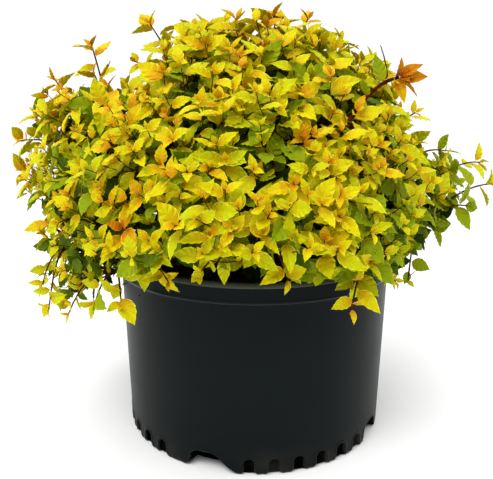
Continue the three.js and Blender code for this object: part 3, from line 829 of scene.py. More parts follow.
# %% [markdown]
# ## The rule that the shrub grows by
#
# The crown is an ellipsoid round the stool's foot, swollen or hollowed here and there. reach_along says
# how far it goes in a direction, and low_edge how low the foliage hangs at an azimuth. Twenty canes
# leave the stool in three tiers. Each has its own mass of foliage, which keeps between the planes that
# it shares with its neighbours. All of this is the same as in the solids, number for number.

# %% The crown's reach
FOOT = Vector((0, 0, MIX_TOP + 0.3))
CROWN_REACH = Vector((236, 208, 262))
SWELLS = [  # azimuth, elevation, how far, and how widely in degrees
    (180, 37, 44, 16), (180, 12, -14, 9), (0, 60, 10, 8), (0, 41, -26, 9), (0, 24, 30, 9),
    (30, -6, -52, 17), (-30, -6, -52, 17),
]
LOW_EDGE = 11.0  # elevation of the foliage's lower edge, where nothing weeps
WEEPING = [(186, 22, 40), (-50, 14, 13), (8, 6, 26), (88, 10, 36)]  # azimuth, how far down, how widely


def heading(azimuth, elevation):
    flat = math.cos(math.radians(elevation))
    turn = math.radians(azimuth)
    return Vector((flat * math.cos(turn), flat * math.sin(turn), math.sin(math.radians(elevation))))


def elevation_of(direction):
    return math.degrees(math.asin(max(-1.0, min(1.0, direction.z))))


def azimuth_of(direction):
    return math.degrees(math.atan2(direction.y, direction.x))


def fade(angle, spread):
    return math.exp(-0.5 * (angle / spread) ** 2)


def near(direction, axis, spread):
    """1 along an axis, and less away from it: 0.61 at spread degrees, and 0.14 at twice that."""
    return fade(math.degrees(direction.angle(axis)), spread)


def axes_of(table):
    """The rows of a table with one direction in place of an azimuth and an elevation."""
    return [(heading(azimuth, elevation), *rest) for azimuth, elevation, *rest in table]


def swell_at(direction, axes):
    return sum(by * near(direction, axis, spread) for axis, by, spread in axes)


SWELL_AXES = axes_of(SWELLS)


def reach_along(direction):
    plain = 1 / Vector([direction[k] / CROWN_REACH[k] for k in range(3)]).length
    return plain + swell_at(direction, SWELL_AXES)


def low_edge(azimuth):
    return LOW_EDGE - sum(
        by * fade(abs((azimuth - middle + 180) % 360 - 180), spread) for middle, by, spread in WEEPING
    )


def random_stream(seed):
    """A repeatable stream of numbers from 0 to 1, the mulberry32 generator."""
    whole = 0xFFFFFFFF
    state = seed & whole

    def draw():
        nonlocal state
        state = (state + 0x6D2B79F5) & whole
        t = state
        t = ((t ^ (t >> 15)) * (t | 1)) & whole
        t ^= (t + (((t ^ (t >> 7)) * (t | 61)) & whole)) & whole
        return ((t ^ (t >> 14)) & whole) / 4294967296

    return draw


print(f"reach: left {reach_along(heading(180, 37)):.0f} mm, up {reach_along(heading(0, 90)):.0f} mm")

# %% [markdown]
# A cane is an arch: it leaves the stool at a steep angle and bends over under its own weight. A quadratic
# curve does that with three points. The stem goes on from the cane's tip, without a kink, into the
# middle of the mass that the cane carries.

# %% Canes and stems
class Bow:
    """A quadratic curve through the air, from one point to another by way of a bend."""

    def __init__(self, start, bend, end):
        self.start, self.bend, self.end = start, bend, end
        self.length = (bend - start).length * 0.5 + (end - bend).length * 0.5

    def point(self, t):
        return self.start * (1 - t) ** 2 + self.bend * (2 * t * (1 - t)) + self.end * t**2

    def onward(self, t):
        return ((self.bend - self.start) * (1 - t) + (self.end - self.bend) * t).normalized()


# All lengths are in millimetres and all angles in degrees. A share is of a cane's or a stem's own length
# or radius, unless it says otherwise.
TIERS = [  # name, canes, first azimuth, elevation at the stool, share of the reach, radius
    ("skirt", 10, 14, 25, 0.56, 3.0),
    ("flank", 7, 36, 47, 0.5, 3.4),
    ("top", 3, -60, 74, 0.5, 3.7),
]
SKIRT_CEILING, FLANK_AXIS, TOP_AXIS = 27, 44, 72
RIM_CLEARING = 15  # least elevation of a cane's tip, in degrees
STOOL_RADIUS = 30
CANE_ROOT_SHARE = 0.8  # of the stool's radius
CANE_TIP_SHARE = 0.55
CANE_BEND = 0.58
CANE_SWAY = 5
STEM_SHARE = 0.8  # of the crown's reach
STEM_BEND = 0.45


class Cane:
    """A main bough from the stool to its own mass of foliage, and the stem that goes on in there."""

    def __init__(self, tier, number, order):
        self.tier, canes, first, start, self.share, self.radius = tier
        self.label = f"{self.tier}_{number + 1:02d}"
        self.azimuth = first + 360 * number / canes
        skirt_middle = (low_edge(self.azimuth) + SKIRT_CEILING) / 2
        self.elevation = {"skirt": skirt_middle, "flank": FLANK_AXIS, "top": TOP_AXIS}[self.tier]
        self.axis = heading(self.azimuth, self.elevation)
        self.random = random_stream(101 + 17 * order)
        tip_elevation = max(self.elevation, RIM_CLEARING)
        length = self.share * reach_along(heading(self.azimuth, tip_elevation))
        turn = math.radians(self.azimuth)
        sideways = Vector((-math.sin(turn), math.cos(turn), 0))
        leaving = heading(self.azimuth, start)
        self.curve = Bow(
            FOOT + leaving * CANE_ROOT_SHARE * STOOL_RADIUS,
            FOOT + leaving * CANE_BEND * length + sideways * CANE_SWAY * (2 * self.random() - 1),
            FOOT + heading(self.azimuth, tip_elevation) * length,
        )
        self.tip = self.curve.end
        self.onward = self.curve.onward(1)
        to = FOOT + self.axis * STEM_SHARE * reach_along(self.axis)
        self.stem = Bow(self.tip, self.tip + self.onward * STEM_BEND * (to - self.tip).length, to)
        self.shoots = []


places = [(tier, number) for tier in TIERS for number in range(tier[1])]
canes = [Cane(tier, number, order) for order, (tier, number) in enumerate(places)]
for cane in canes:
    cane.walls = [(cane.axis - other.axis).normalized() for other in canes if other is not cane]
print(f"{len(canes)} canes, {min(c.curve.length for c in canes):.0f} mm long or more")

# %% [markdown]
# Shoots are shared out as branches share the light. Directions are spread evenly over the crown, each
# goes to the cane whose axis is nearest, and the shoots of a cane fork from its stem one after another,
# those that point furthest away first. An aim that would leave the mass's own space is drawn in towards
# the cane's axis, a little more with each try.

# %% Share out the crown and fork the shoots
LOWEST_FORK = 0.15  # share of the stem's length below which no shoot forks
DRAWN_IN = [0, 0.12, 0.24, 0.36, 0.5]  # how far an aim is drawn in to its cane's axis, one try after another
SHOOT_RADIUS = 1.15
SHOOT_TIP_SHARE = 0.6
SHOOT_DIRECTIONS = 200
SHOOT_STOPS_SHORT = 0.66 * 58  # a share of the length of the solids' leaves
SHOOT_INSET, TWIG_INSET = 6, 1  # how far their tips stay from the neighbours' foliage
BESIDE_RIM, ABOVE_RIM, PAST_CANE = 4, 3, 0.3  # and from the pot and the cane
GOLDEN = 180 * (3 - math.sqrt(5))


def in_own_space(cane, spot, inset):
    """Whether a point is between the planes that a mass shares with its neighbours, and off the pot."""
    from_foot = spot - FOOT
    beside_pot = math.hypot(spot.x, spot.y) > RIM_RADIUS + BAND_BEAD + BESIDE_RIM
    return (
        all(from_foot.dot(wall) > inset for wall in cane.walls)
        and (spot - cane.tip).dot(cane.onward) > PAST_CANE
        and (beside_pot or spot.z > POT_HEIGHT + ABOVE_RIM)
    )


def line_in_space(cane, start, end, inset):
    on_the_way = [start.lerp(end, t) for t in (0.3, 0.5, 0.7, 0.85)]
    return all(in_own_space(cane, spot, 0) for spot in on_the_way) and in_own_space(cane, end, inset)


def spread_directions(count):
    """Directions spread evenly over a sphere by the golden angle, those above the low edge only."""
    for k in range(count):
        rise = 1 - (2 * k + 1) / count
        direction = heading((GOLDEN * k) % 360, math.degrees(math.asin(rise)))
        if elevation_of(direction) >= low_edge(azimuth_of(direction)):
            yield direction


def nearest_cane(direction):
    return max(canes, key=lambda cane: direction.dot(cane.axis))


def fork_shoots(cane, directions):
    """Straight shoots, each forking from the stem at a place of its own."""
    inward = sorted(directions, key=lambda direction: direction.dot(cane.axis))
    for i, direction in enumerate(inward):
        start = cane.stem.point(LOWEST_FORK + (1 - LOWEST_FORK) * (i + 0.5) / len(inward))
        for drawn in DRAWN_IN:
            aim = direction.lerp(cane.axis, drawn).normalized()
            end = FOOT + aim * (reach_along(aim) - SHOOT_STOPS_SHORT)
            if line_in_space(cane, start, end, SHOOT_INSET):
                cane.shoots.append(Bow(start, start.lerp(end, 0.5), end))
                break


shared_out = {cane: [] for cane in canes}
for direction in spread_directions(SHOOT_DIRECTIONS):
    shared_out[nearest_cane(direction)].append(direction)
for cane in canes:
    fork_shoots(cane, shared_out[cane])
print(f"{len(canes)} canes, {sum(len(cane.shoots) for cane in canes)} shoots")

# %% [markdown]
# ## Limbs
#
# Canes, stems, shoots and twigs are all limbs: a round section that follows a line and thins along it.
# Each limb is drawn as a row of points that carry their thickness, and Geometry Nodes turn all rows of
# one kind into tubes at once. Noise along the normals gives the bark its relief, so that it is real
# geometry and not only a trick of the shading.

# %% The limb tree
def limb_tree():
    bench, given = begin_tree(
        "limbs", {"Sides": "whole", "Relief": "number", "Grain": "number", "Bark": "material"}
    )
    thickness = kept(bench, "thickness")
    line = bench.node("GeometryNodeMeshToCurve", sockets={"Mesh": given.of("Geometry")})
    section = bench.node("GeometryNodeCurvePrimitiveCircle", sockets={
        "Resolution": given.of("Sides"), "Radius": 1.0,
    })
    tube = bench.node("GeometryNodeCurveToMesh", sockets={
        "Curve": line, "Profile Curve": section, "Scale": thickness, "Fill Caps": True,
    })
    rough = grain(bench, given.of("Grain"), 2.0, bench.node("GeometryNodeInputPosition"))
    lift = (rough - 0.5) * given.of("Relief") * thickness
    offset = bench.node(
        "ShaderNodeVectorMath", {"operation": "SCALE"},
        {"Vector": bench.node("GeometryNodeInputNormal"), "Scale": lift},
    )
    barked = bench.node("GeometryNodeSetPosition", sockets={"Geometry": tube, "Offset": offset})
    smooth = bench.node("GeometryNodeSetShadeSmooth", sockets={"Geometry": barked})
    return finish_tree(bench, smooth, (True, given.of("Bark")))


def draw_lines(name, limbs):
    """limbs: for each, its points in millimetres and the radius at each point."""
    points, edges, radii = [], [], []
    for path, widths in limbs:
        start = len(points)
        points += [tuple(spot * MM) for spot in path]
        edges += [(start + k, start + k + 1) for k in range(len(path) - 1)]
        radii += [width * MM for width in widths]
    mesh = plain_mesh(name, points, edges, [])
    store(mesh, "thickness", "FLOAT", radii)
    return add_object(name, mesh)


NODE_WIDTH = 2.2


def taper(curve, step, start_radius, end_radius, swelling=0.0, node_gap=1.0):
    """A limb along a curve, with a swelling at each node where leaves once sat."""
    steps = max(2, round(curve.length / step))
    shares = [k / steps for k in range(steps + 1)]
    widths = []
    for t in shares:
        past_node = (t * curve.length / node_gap) % 1
        bulge = swelling * math.exp(-((min(past_node, 1 - past_node) * node_gap / NODE_WIDTH) ** 2))
        widths.append((start_radius + (end_radius - start_radius) * t) * (1 + bulge))
    return [curve.point(t) for t in shares], widths


def make_limbs(name, limbs, sides, relief, grain_size, bark):
    lines = draw_lines(f"{name}_lines", limbs)
    mesh = grow_mesh(lines, limbs_tree, {
        "Sides": sides, "Relief": relief, "Grain": grain_size * MM, "Bark": bark,
    })
    bpy.data.objects.remove(lines)
    made = add_object(name, mesh)
    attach(made, BODY)
    print(f"{name}: {len(mesh.polygons)} faces")
    return made


limbs_tree = limb_tree()

# %% [markdown]
# ## Stool and canes
#
# A spirea that is cut back each spring makes a low knuckle of old wood, from which the year's canes
# spring. The knuckle is a ringed dome with a root flare, roughened by noise.

# %% The stool
STOOL_COLUMNS = 72
STOOL_FLARE = 7
STOOL_KNOBS = ((3.2, 9), (1.2, 2.5))  # how far the old wood stands out, and how long its knobs are
STOOL_DRAWN_IN = 1.0


def stool_rings():
    profile = [(STOOL_RADIUS, 0), (STOOL_RADIUS + STOOL_FLARE, 0), (STOOL_RADIUS + 0.35 * STOOL_FLARE, 3)]
    for elevation in np.linspace(10, 84, 14):
        angle = math.radians(elevation)
        profile.append((STOOL_RADIUS * math.cos(angle), STOOL_RADIUS * math.sin(angle)))
    rings = turn_profile(np.array(profile) + (0, FOOT.z), STOOL_COLUMNS)
    for ring in rings[2:]:
        for spot in ring:
            out = np.array((Vector(spot) - FOOT).normalized())
            spot += out * (waves_at(spot, STOOL_KNOBS) - STOOL_DRAWN_IN)
    return rings


stool_bark = add_object("stool_bark", ringed_mesh("stool_bark", stool_rings()), old_bark)
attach(stool_bark, BODY)
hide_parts("stool")
print(f"stool: {len(stool_bark.data.polygons)} faces")

# %% [markdown]
# The canes bow out of the stool in one arch each, thin towards their tips and swell a little at their
# nodes, where leaves once sat. Twenty lines in one object become twenty tubes in one pass.

# %% The canes
cane_limbs = [
    taper(cane.curve, 2.0, cane.radius, cane.radius * CANE_TIP_SHARE, 0.16, 19)
    for cane in canes
]
canes_bark = make_limbs("canes_bark", cane_limbs, 10, 0.3, 2.4, old_bark)
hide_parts(*[f"cane_{cane.label}" for cane in canes])

# %% [markdown]
# ## The crown's finer outline
#
# Seen close, a crown isn't as even as its ellipsoid. It has tufts and hollows, and the skirt's hem rises
# and falls. It rises most over the front of the pot, where it leaves the rim free. fine_reach adds the
# tufts and some soft noise to the crown's reach, and hem says how low a leaf's tip may hang.

# %% Tufts, hollows and the hem
TUFTS = [  # azimuth, elevation, how far, and how widely in degrees
    (0, 2, -38, 10), (-32, 4, -30, 15), (32, 4, -26, 15), (0, 14, -30, 7), (0, 25, 16, 5),
    (0, 38, -36, 8), (-19, 41, -24, 8), (0, 50, 14, 5), (0, 72, -16, 8), (0, 61, -8, 6), (0, 84, 2, 7),
    (180, 79, -14, 6), (180, 68, 8, 8), (-47, 50, -14, 9), (180, 56, -52, 7), (162, 57, -24, 6),
    (-162, 57, -24, 6), (180, 41, -4, 6), (180, 30, 8, 6), (180, 19, -14, 6), (180, 11, -26, 7),
    (180, 3, -28, 8), (30, 13, -20, 9), (200, -16, -30, 9),
]
TUFT_AXES = axes_of(TUFTS)
LUMP_HEIGHT = 13
LUMPS_PER_RADIAN = 4.2
HEM = [  # azimuth, and the elevation of the lowest leaf tips there
    (-180, -13), (-165, -10), (-152, -8), (-146, -3), (-140, 8), (-130, 11), (-118, 11), (-100, 13),
    (-88, 14), (-78, 12), (-72, 7), (-66, 7), (-60, 10), (-50, 6), (-40, 2), (-20, 0), (0, 0), (30, 0),
    (60, -3), (90, -6), (120, -4), (150, -8), (180, -13),
]


def fine_reach(direction):
    lumps = LUMP_HEIGHT * noise.noise(direction * LUMPS_PER_RADIAN)
    return reach_along(direction) + swell_at(direction, TUFT_AXES) + lumps


def hem(azimuth):
    return float(np.interp(azimuth, *zip(*HEM)))


def above_hem(spot, margin):
    direction = (spot - FOOT).normalized()
    return elevation_of(direction) > hem(azimuth_of(direction)) + margin


print(f"hem in front at {hem(-90):.0f} degrees, on the left at {hem(180):.0f} degrees")

# %% [markdown]
# The crown is not equally dense all round. On the left, where its old canes weep past the rim, and in a
# few other places, so few twigs grow that daylight shows between them. sparse gives the share of twigs
# and leaves that is missing in a direction.

# %% The open places
OPEN_PLACES = [  # azimuth, elevation, how widely in degrees, and the share that is missing in the middle
    (-150, -5, 14, 0.7), (164, -4, 12, 0.75), (180, 57, 7, 0.97), (-166, 57, 6, 0.8), (166, 57, 6, 0.8),
    (178, 6, 8, 0.6), (2, 10, 9, 0.7), (0, 39, 8, 0.7), (-25, 16, 9, 0.93), (14, 8, 8, 0.8),
    (-46, 52, 8, 0.92), (88, 6, 12, 0.6), (120, 34, 8, 0.5),
]
OPEN_AXES = axes_of(OPEN_PLACES)


def sparse(direction):
    return max(share * near(direction, axis, spread) for axis, spread, share in OPEN_AXES)


barest = max(share for *_, share in OPEN_AXES)
print(f"{len(OPEN_AXES)} open places, the barest lacks {barest:.0%} of its twigs")

# %% [markdown]
# ## Twigs
#
# Each shoot goes on forking. Many more directions than the shoots have are spread over the crown by the
# same golden angle, and each becomes a twig of the shoot whose tip is nearest. Most twigs end near the
# crown's outline, and some stop deeper, which gives the mound its depth. A twig starts out along its
# shoot and bends towards its own tip, as wood does that turns to the light. A shoot that ends below the
# hem or in an open place is left out, because no leaf would hide it, but each cane keeps at least one.

# %% Grow the twigs
TWIG_DIRECTIONS = 2600
TWIG_STOPS_SHORT = (6.0, 14.0)  # so that its leaves end at the crown's outline, and how much more at most
TWIG_RADIUS = 0.62
TWIG_TIP_RADIUS = 0.36
DEEP_SHARE = 0.58  # share of the twigs that stop deeper
DEEPEST = 0.66
UPWARD_TURN = 0.3  # how much a twig's tip turns up from straight outwards
ASTRAY = 0.9  # and how far it turns any way at random
LAST_REACH = 0.45  # share of a twig's length that already points that way
HEM_MARGIN = 4  # a twig ends at least this many degrees above the hem
HEM_THINNED = (12, 0.45)  # degrees above the hem, and the share of twigs missing there
FORK_TOP, FORK_LOWEST = 0.9, 0.12  # where on its shoot a twig forks: at the top for one straight ahead
FORK_DEGREES = 22  # and lower by the whole shoot for one that is this many degrees away
FORK_CHANCE, FORK_DEEPER = 0.25, 0.8  # lower by up to this at random, and for one that stops deeper
BELOW_HEM, MOST_OPEN = -2, 0.4  # a shoot that ends lower, or where more is missing, is left out


class Spray:
    """A twig with its own random stream, which bears leaves from its tip back.

    depth is the share of the crown's reach where it ends, spacing how far apart its leaves stand, older
    how many rungs greener they are, larger their size, and greenest the rung that none of them passes.
    """

    def __init__(self, curve, seed, depth=1.0, spacing=1.0, older=0.0, larger=1.0, greenest=7.0):
        self.curve, self.depth, self.spacing = curve, depth, spacing
        self.older, self.larger, self.greenest = older, larger, greenest
        self.random = random_stream(seed)


def nearest_shoot(cane, direction):
    """The shoot whose tip is nearest to a direction, and how many degrees it is away."""
    tips = [((shoot.end - FOOT).normalized().dot(direction), shoot) for shoot in cane.shoots]
    closeness, shoot = max(tips, key=lambda tip: tip[0])
    return shoot, math.degrees(math.acos(min(1.0, closeness)))


def fork_twig(cane, direction, seed):
    """The spray of one direction, or None where no way to it stays in the mass's own space."""
    draw = random_stream(seed)
    if draw() < sparse(direction):
        return None
    shoot, apart = nearest_shoot(cane, direction)
    depth = 1.0 if draw() > DEEP_SHARE else DEEPEST + (1 - DEEPEST) * draw()
    fork = FORK_TOP - apart / FORK_DEGREES - FORK_CHANCE * draw() - (1 - depth) * FORK_DEEPER
    start = shoot.point(max(FORK_LOWEST, fork))
    short = TWIG_STOPS_SHORT[0] + TWIG_STOPS_SHORT[1] * draw()
    margin, missing = HEM_THINNED
    for drawn in DRAWN_IN:
        aim = direction.lerp(cane.axis, drawn).normalized()
        end = FOOT + aim * (fine_reach(aim) * depth - short)
        if line_in_space(cane, start, end, TWIG_INSET) and above_hem(end, HEM_MARGIN):
            if not above_hem(end, margin) and draw() < missing:
                return None
            astray = Vector((draw() - 0.5, draw() - 0.5, draw() - 0.5)) * ASTRAY
            towards_light = (aim + Vector((0, 0, UPWARD_TURN)) + astray).normalized()
            bend = end - towards_light * LAST_REACH * (end - start).length
            return Spray(Bow(start, bend, end), seed + 50000, depth)
    return None


def has_leaves(shoot):
    """Whether a shoot's tip is above the hem, and in a place where leaves grow densely."""
    return above_hem(shoot.end, BELOW_HEM) and sparse((shoot.end - FOOT).normalized()) < MOST_OPEN


for cane in canes:
    cane.shoots = [shoot for shoot in cane.shoots if has_leaves(shoot)] or cane.shoots[:1]
forked = [
    fork_twig(nearest_cane(direction), direction, 7001 + 13 * number)
    for number, direction in enumerate(spread_directions(TWIG_DIRECTIONS))
]
sprays = [spray for spray in forked if spray]
print(f"{sum(len(cane.shoots) for cane in canes)} shoots, {len(sprays)} twigs")

# %% [markdown]
# Some sixty shoots outgrow the rest in a summer. They are long and wiry, their leaves stand further
# apart behind the tip, and they break up the mound's outline. Those of the skirt arch over and hang. Each
# is given by where its tip is, by how far it arches on its way and by how large its leaves are.

# %% The shoots that outgrow the rest
OUTGROWN = [  # azimuth, elevation, how far from the foot, arch as a share of the length, how much larger
    (-148, -2, 231, 0.4, 1.5), (-138, 0, 203, 0.45, 1.5), (-131, 1, 190, 0.45, 1.5), (-152, 3, 232, 0.4, 1.2),
    (-145, -3, 217, 0.4, 1.2), (-144, 4, 207, 0.4, 1.0), (-158, 17, 229, 0.2, 1.3), (-147, 19, 230, 0.3, 1.3),
    (180, 23, 272, 0.15, 1.3), (180, 29, 286, 0.1, 1.4), (180, 35, 276, 0.1, 1.4), (-171, 39, 264, 0.1, 1.4),
    (180, 44, 290, 0.05, 1.3), (178, 51, 270, 0.05, 1.3), (176, 54, 292, 0.05, 1.2), (176, 60, 256, 0, 0.6),
    (175, 67, 280, 0.0, 1.4), (172, 68, 256, 0, 1.0), (180, 84, 256, 0.0, 0.8), (0, 86, 266, 0.0, 1.1),
    (20, 84, 250, 0, 1.0), (10, 78, 270, 0, 1.0), (0, 66, 236, 0, 1.0), (5, 60, 240, 0, 1.0),
    (-15, 46, 238, 0.1, 1.2), (-7, 41, 216, 0.1, 1.1), (0, 32, 243, 0.1, 1.1), (-5, 29, 226, 0.1, 1.1),
    (-10, 22, 264, 0.15, 1.2), (2, 25, 272, 0.2, 1.2), (-16, 24, 214, 0.2, 1.3), (-8, 13, 202, 0.3, 1.0),
    (-32, 12, 172, 0.3, 1.0), (-29, 2, 177, 0.4, 0.7), (-39, 5, 176, 0.5, 0.9),
    (-64, 2, 190, 0.5, 0.9), (-60, 9, 174, 0.5, 1.1), (-81, 11, 180, 0.5, 1.1), (-107, 12, 182, 0.5, 1.0),
    (-117, 9, 176, 0.5, 1.1), (-126, 22, 212, 0.2, 1.4), (-149, 47, 240, 0.1, 1.4), (-70, 26, 215, 0.2, 1.3),
    (-95, 60, 225, 0.1, 1.3), (-75, 45, 215, 0.1, 1.3), (40, 48, 254, 0.1, 1.1), (75, 40, 244, 0.1, 1.2),
    (110, 52, 262, 0.1, 1.1), (142, 44, 266, 0.1, 1.1), (96, 24, 222, 0.2, 1.2), (52, 22, 228, 0.2, 1.1),
    (140, 18, 230, 0.2, 1.2), (30, 2, 196, 0.4, 1.0), (75, -4, 190, 0.5, 1.0), (120, 0, 206, 0.4, 1.1),
    (155, -6, 214, 0.4, 1.0), (174, 12, 216, 0.2, 0.7), (11, 24, 250, 0.2, 1.2), (-17, 20, 236, 0.2, 1.2),
]
OUTGROWN_SPACING = 1.2  # how much further apart their leaves stand, behind the tip
OUTGROWN_OLDER, OUTGROWN_GREENEST = -0.6, 5.0  # younger than common, and never greener than lime
OUTGROWN_FORK, OUTGROWN_BEND, LEAST_ARCH = 0.5, 0.55, 0.08  # shares of the parent and of the own length
ROSETTE_REACH = 13  # how far the leaves go beyond the end of the wood
SHOOT_DEPTH, SHOOT_SPACING = 0.9, 1.2  # for the leaves on the common shoots themselves


def outgrow(azimuth, elevation, reach, arch, larger, seed):
    aim = heading(azimuth, elevation)
    shoot, _ = nearest_shoot(nearest_cane(aim), aim)
    start = shoot.point(OUTGROWN_FORK)
    end = FOOT + aim * (reach - ROSETTE_REACH)
    bend = start.lerp(end, OUTGROWN_BEND) + Vector((0, 0, (LEAST_ARCH + arch) * (end - start).length))
    bow = Bow(start, bend, end)
    return Spray(bow, seed, 1.0, OUTGROWN_SPACING, OUTGROWN_OLDER, larger, OUTGROWN_GREENEST)


outgrown = [outgrow(*tip, 31001 + 37 * k) for k, tip in enumerate(OUTGROWN)]
shoots = [shoot for cane in canes for shoot in cane.shoots]
earlier = len(sprays) + len(outgrown)
shoot_sprays = [
    Spray(shoot, 90001 + 29 * (earlier + k), SHOOT_DEPTH, SHOOT_SPACING)
    for k, shoot in enumerate(shoots)
]
print(f"{len(outgrown)} shoots outgrow the rest, and {earlier + len(shoots)} sprays bear leaves")

# %% [markdown]
# One strong leader stands out on the right of the crown. Its wood is stout, smooth and dark red, and it
# ends in a big rosette of copper leaves, just behind which a thin bare tip sticks up. Wood and leaves
# are placed one by one, because there is only one such shoot.

# %% The leader
LEADER_RADIUS = (1.9, 1.3)
BARE_TIP_RADIUS = (0.8, 0.4)
LEADER_AIM = heading(-49, 48)
leader_shoot, _ = nearest_shoot(nearest_cane(LEADER_AIM), LEADER_AIM)
leader_curve = Bow(leader_shoot.point(0.35), Vector((92, -98, 352)), Vector((116, -116, 355)))
bare_tip = Bow(Vector((111, -96, 356)), Vector((110, -94, 368)), Vector((105, -90, 382)))
LEADER_LEAVES = [  # back from the tip, turn, opening, length and rung
    (0, 200, 12, 13, 0), (0, 60, 18, 11, 0), (1, 235, 36, 23, 0), (1, 180, 28, 25, 0), (2, 130, 42, 23, 0),
    (3, 80, 62, 21, 1), (3, 285, 52, 18, 0), (4, 10, 60, 16, 1), (12, 275, 76, 25, 5), (14, 110, 62, 19, 4),
    (24, 300, 66, 19, 5), (26, 115, 58, 21, 6), (36, 100, 60, 21, 5), (38, 290, 70, 16, 6),
    (48, 120, 60, 18, 6),
]
print(f"the leader is {leader_curve.length:.0f} mm long")

# %% [markdown]
# The finer the wood, the fewer sides it needs: ten for the leader, six for stems and shoots, and four
# for the twigs. Those are about a millimetre thick, so they have no relief either.

# %% Turn stems, shoots and twigs into wood
shoot_limbs = [
    taper(cane.stem, 4.0, cane.radius * CANE_TIP_SHARE, SHOOT_RADIUS, 0.14, 17)
    for cane in canes
]
shoot_limbs += [
    taper(shoot, 6.0, SHOOT_RADIUS, SHOOT_TIP_SHARE * SHOOT_RADIUS, 0.18, 12)
    for shoot in shoots
]
shoot_limbs += [taper(spray.curve, 5.0, SHOOT_RADIUS, TWIG_RADIUS, 0.2, 11) for spray in outgrown]
twig_limbs = [taper(spray.curve, 7.0, TWIG_RADIUS, TWIG_TIP_RADIUS) for spray in sprays]
foliage_nodes = [f"foliage_{cane.label}" for cane in canes]
shoots_bark = make_limbs("shoots_bark", shoot_limbs, 6, 0.2, 2.0, young_bark)
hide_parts(*foliage_nodes)
twigs_bark = make_limbs("twigs_bark", twig_limbs, 4, 0.0, 2.0, young_bark)
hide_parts(*foliage_nodes)
leader_limbs = [taper(leader_curve, 3.0, *LEADER_RADIUS, 0.12, 14), taper(bare_tip, 4.0, *BARE_TIP_RADIUS)]
leader_bark = make_limbs("leader_bark", leader_limbs, 10, 0.12, 3.0, leader_wood)
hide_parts(*foliage_nodes)

# %% [markdown]
# ## One leaf
#
# A spirea leaf is a pointed oval with a toothed edge, on a short stalk. Its side veins run forward from
# the midrib, each to a tooth. The blade is pleated between them and folded along the midrib. Forty-five
# triangles are enough for all of that, because the folds follow the veins and each tooth is two
# triangles of its own. Every triangle knows its zone, so that the stalk end of a young leaf can be
# flushed with orange and its teeth can be paler than its blade.

# %% The leaf's shapes
# The leaf is one unit long, so all of its sizes are shares of that.
VEINS = 4
VEIN_GAP = 0.19
FIRST_VEIN = 0.12
MIDRIB_END = 0.88  # its last fold before the tip
TOOTH_AHEAD = 0.14  # a vein reaches the edge this much further along than where it starts
TOOTH_LEANS = 0.015
FIRST_DIP, LAST_DIP = 0.16, 0.92  # where the blade's edge starts and ends
PLEAT = 0.022
STALK = 0.07
STALK_HALF_WIDTH = 0.012
WIDTHS = {"valley": 0.97, "crest": 0.87, "tooth": 1.06}  # shares of the blade's own half width
AHEAD, BEHIND = 0.8, 1.18  # how blunt the blade is towards its stalk, and towards its tip
STALK_END, MIDDLE, BLADE, TEETH = range(4)
LEAF_SHAPES = [  # width, fold, droop, twist
    (0.50, 0.26, 0.14, 0.00),
    (0.44, 0.42, 0.26, 0.12),
    (0.54, 0.18, 0.06, -0.10),
    (0.48, 0.34, 0.34, 0.05),
    (0.43, 0.50, 0.18, -0.14),
    (0.57, 0.14, -0.05, 0.08),
    (0.60, 0.22, 0.10, 0.04),
    (0.66, 0.16, 0.04, -0.08),
    (0.62, 0.30, 0.20, 0.00),
]
SLENDER_SHAPES, ROUND_SHAPES = (0, 6), (5, 9)  # young leaves are slender and old ones round


def half_width(t, width):
    """Half the blade's width at a share of its length: pointed at both ends, widest before the middle."""
    t = max(0.0, (t - STALK) / (1 - STALK))
    widest = AHEAD / (AHEAD + BEHIND)
    fullest = widest**AHEAD * (1 - widest) ** BEHIND
    return width / 2 * t**AHEAD * (1 - t) ** BEHIND / fullest


def make_leaf(name, width, fold, droop, twist):
    points, faces, zones = [], [], []

    def put(t, across, lift=0.0):
        """Adds a corner of the blade, bent down along its length and turned about its midrib."""
        height = fold * abs(across) + lift - droop * t * t + twist * t * across
        points.append((t, across, height))
        return len(points) - 1

    def face(corners, side, zone):
        faces.append(corners if side > 0 else corners[::-1])
        zones.append(zone)

    def edge(places, kind, lift):
        """Adds a row of corners along one edge of the blade."""
        return [put(t, side * WIDTHS[kind] * half_width(t, width), lift) for t in places]

    root = [put(0, -STALK_HALF_WIDTH), put(0, STALK_HALF_WIDTH)]
    base = put(STALK, 0)
    face([root[0], base, root[1]], 1, STALK_END)
    starts = [FIRST_VEIN + VEIN_GAP * k for k in range(VEINS)]
    midrib = [put(t, 0, -0.4 * PLEAT) for t in starts + [MIDRIB_END]]
    apex = put(1, 0)
    ends = [start + TOOTH_AHEAD for start in starts]
    dips = [FIRST_DIP] + [(before + after) / 2 for before, after in zip(ends, ends[1:])] + [LAST_DIP]
    for side in (1, -1):
        valleys = edge(dips, "valley", PLEAT)
        crests = edge(ends, "crest", -PLEAT)
        teeth = edge([t + TOOTH_LEANS for t in ends], "tooth", -0.2 * PLEAT)
        face([base, midrib[0], valleys[0]], side, STALK_END)
        for k in range(VEINS):
            zone = (STALK_END, MIDDLE, BLADE, BLADE)[k]
            face([midrib[k], crests[k], valleys[k]], side, zone)
            face([midrib[k], valleys[k + 1], crests[k]], side, zone)
            face([midrib[k], midrib[k + 1], valleys[k + 1]], side, zone)
            face([valleys[k], crests[k], teeth[k]], side, TEETH)
            face([crests[k], valleys[k + 1], teeth[k]], side, TEETH)
        face([midrib[-1], apex, valleys[-1]], side, BLADE)
    mesh = plain_mesh(name, points, [], faces)
    store(mesh, "zone", "INT", zones, "FACE")
    return add_object(name, mesh)


leaf_shapes = [make_leaf(f"leaf_{k}", *shape) for k, shape in enumerate(LEAF_SHAPES)]
leaf_group = gather("leaf_shapes", leaf_shapes)
print(f"{len(leaf_shapes)} leaf shapes of {len(leaf_shapes[0].data.polygons)} triangles")

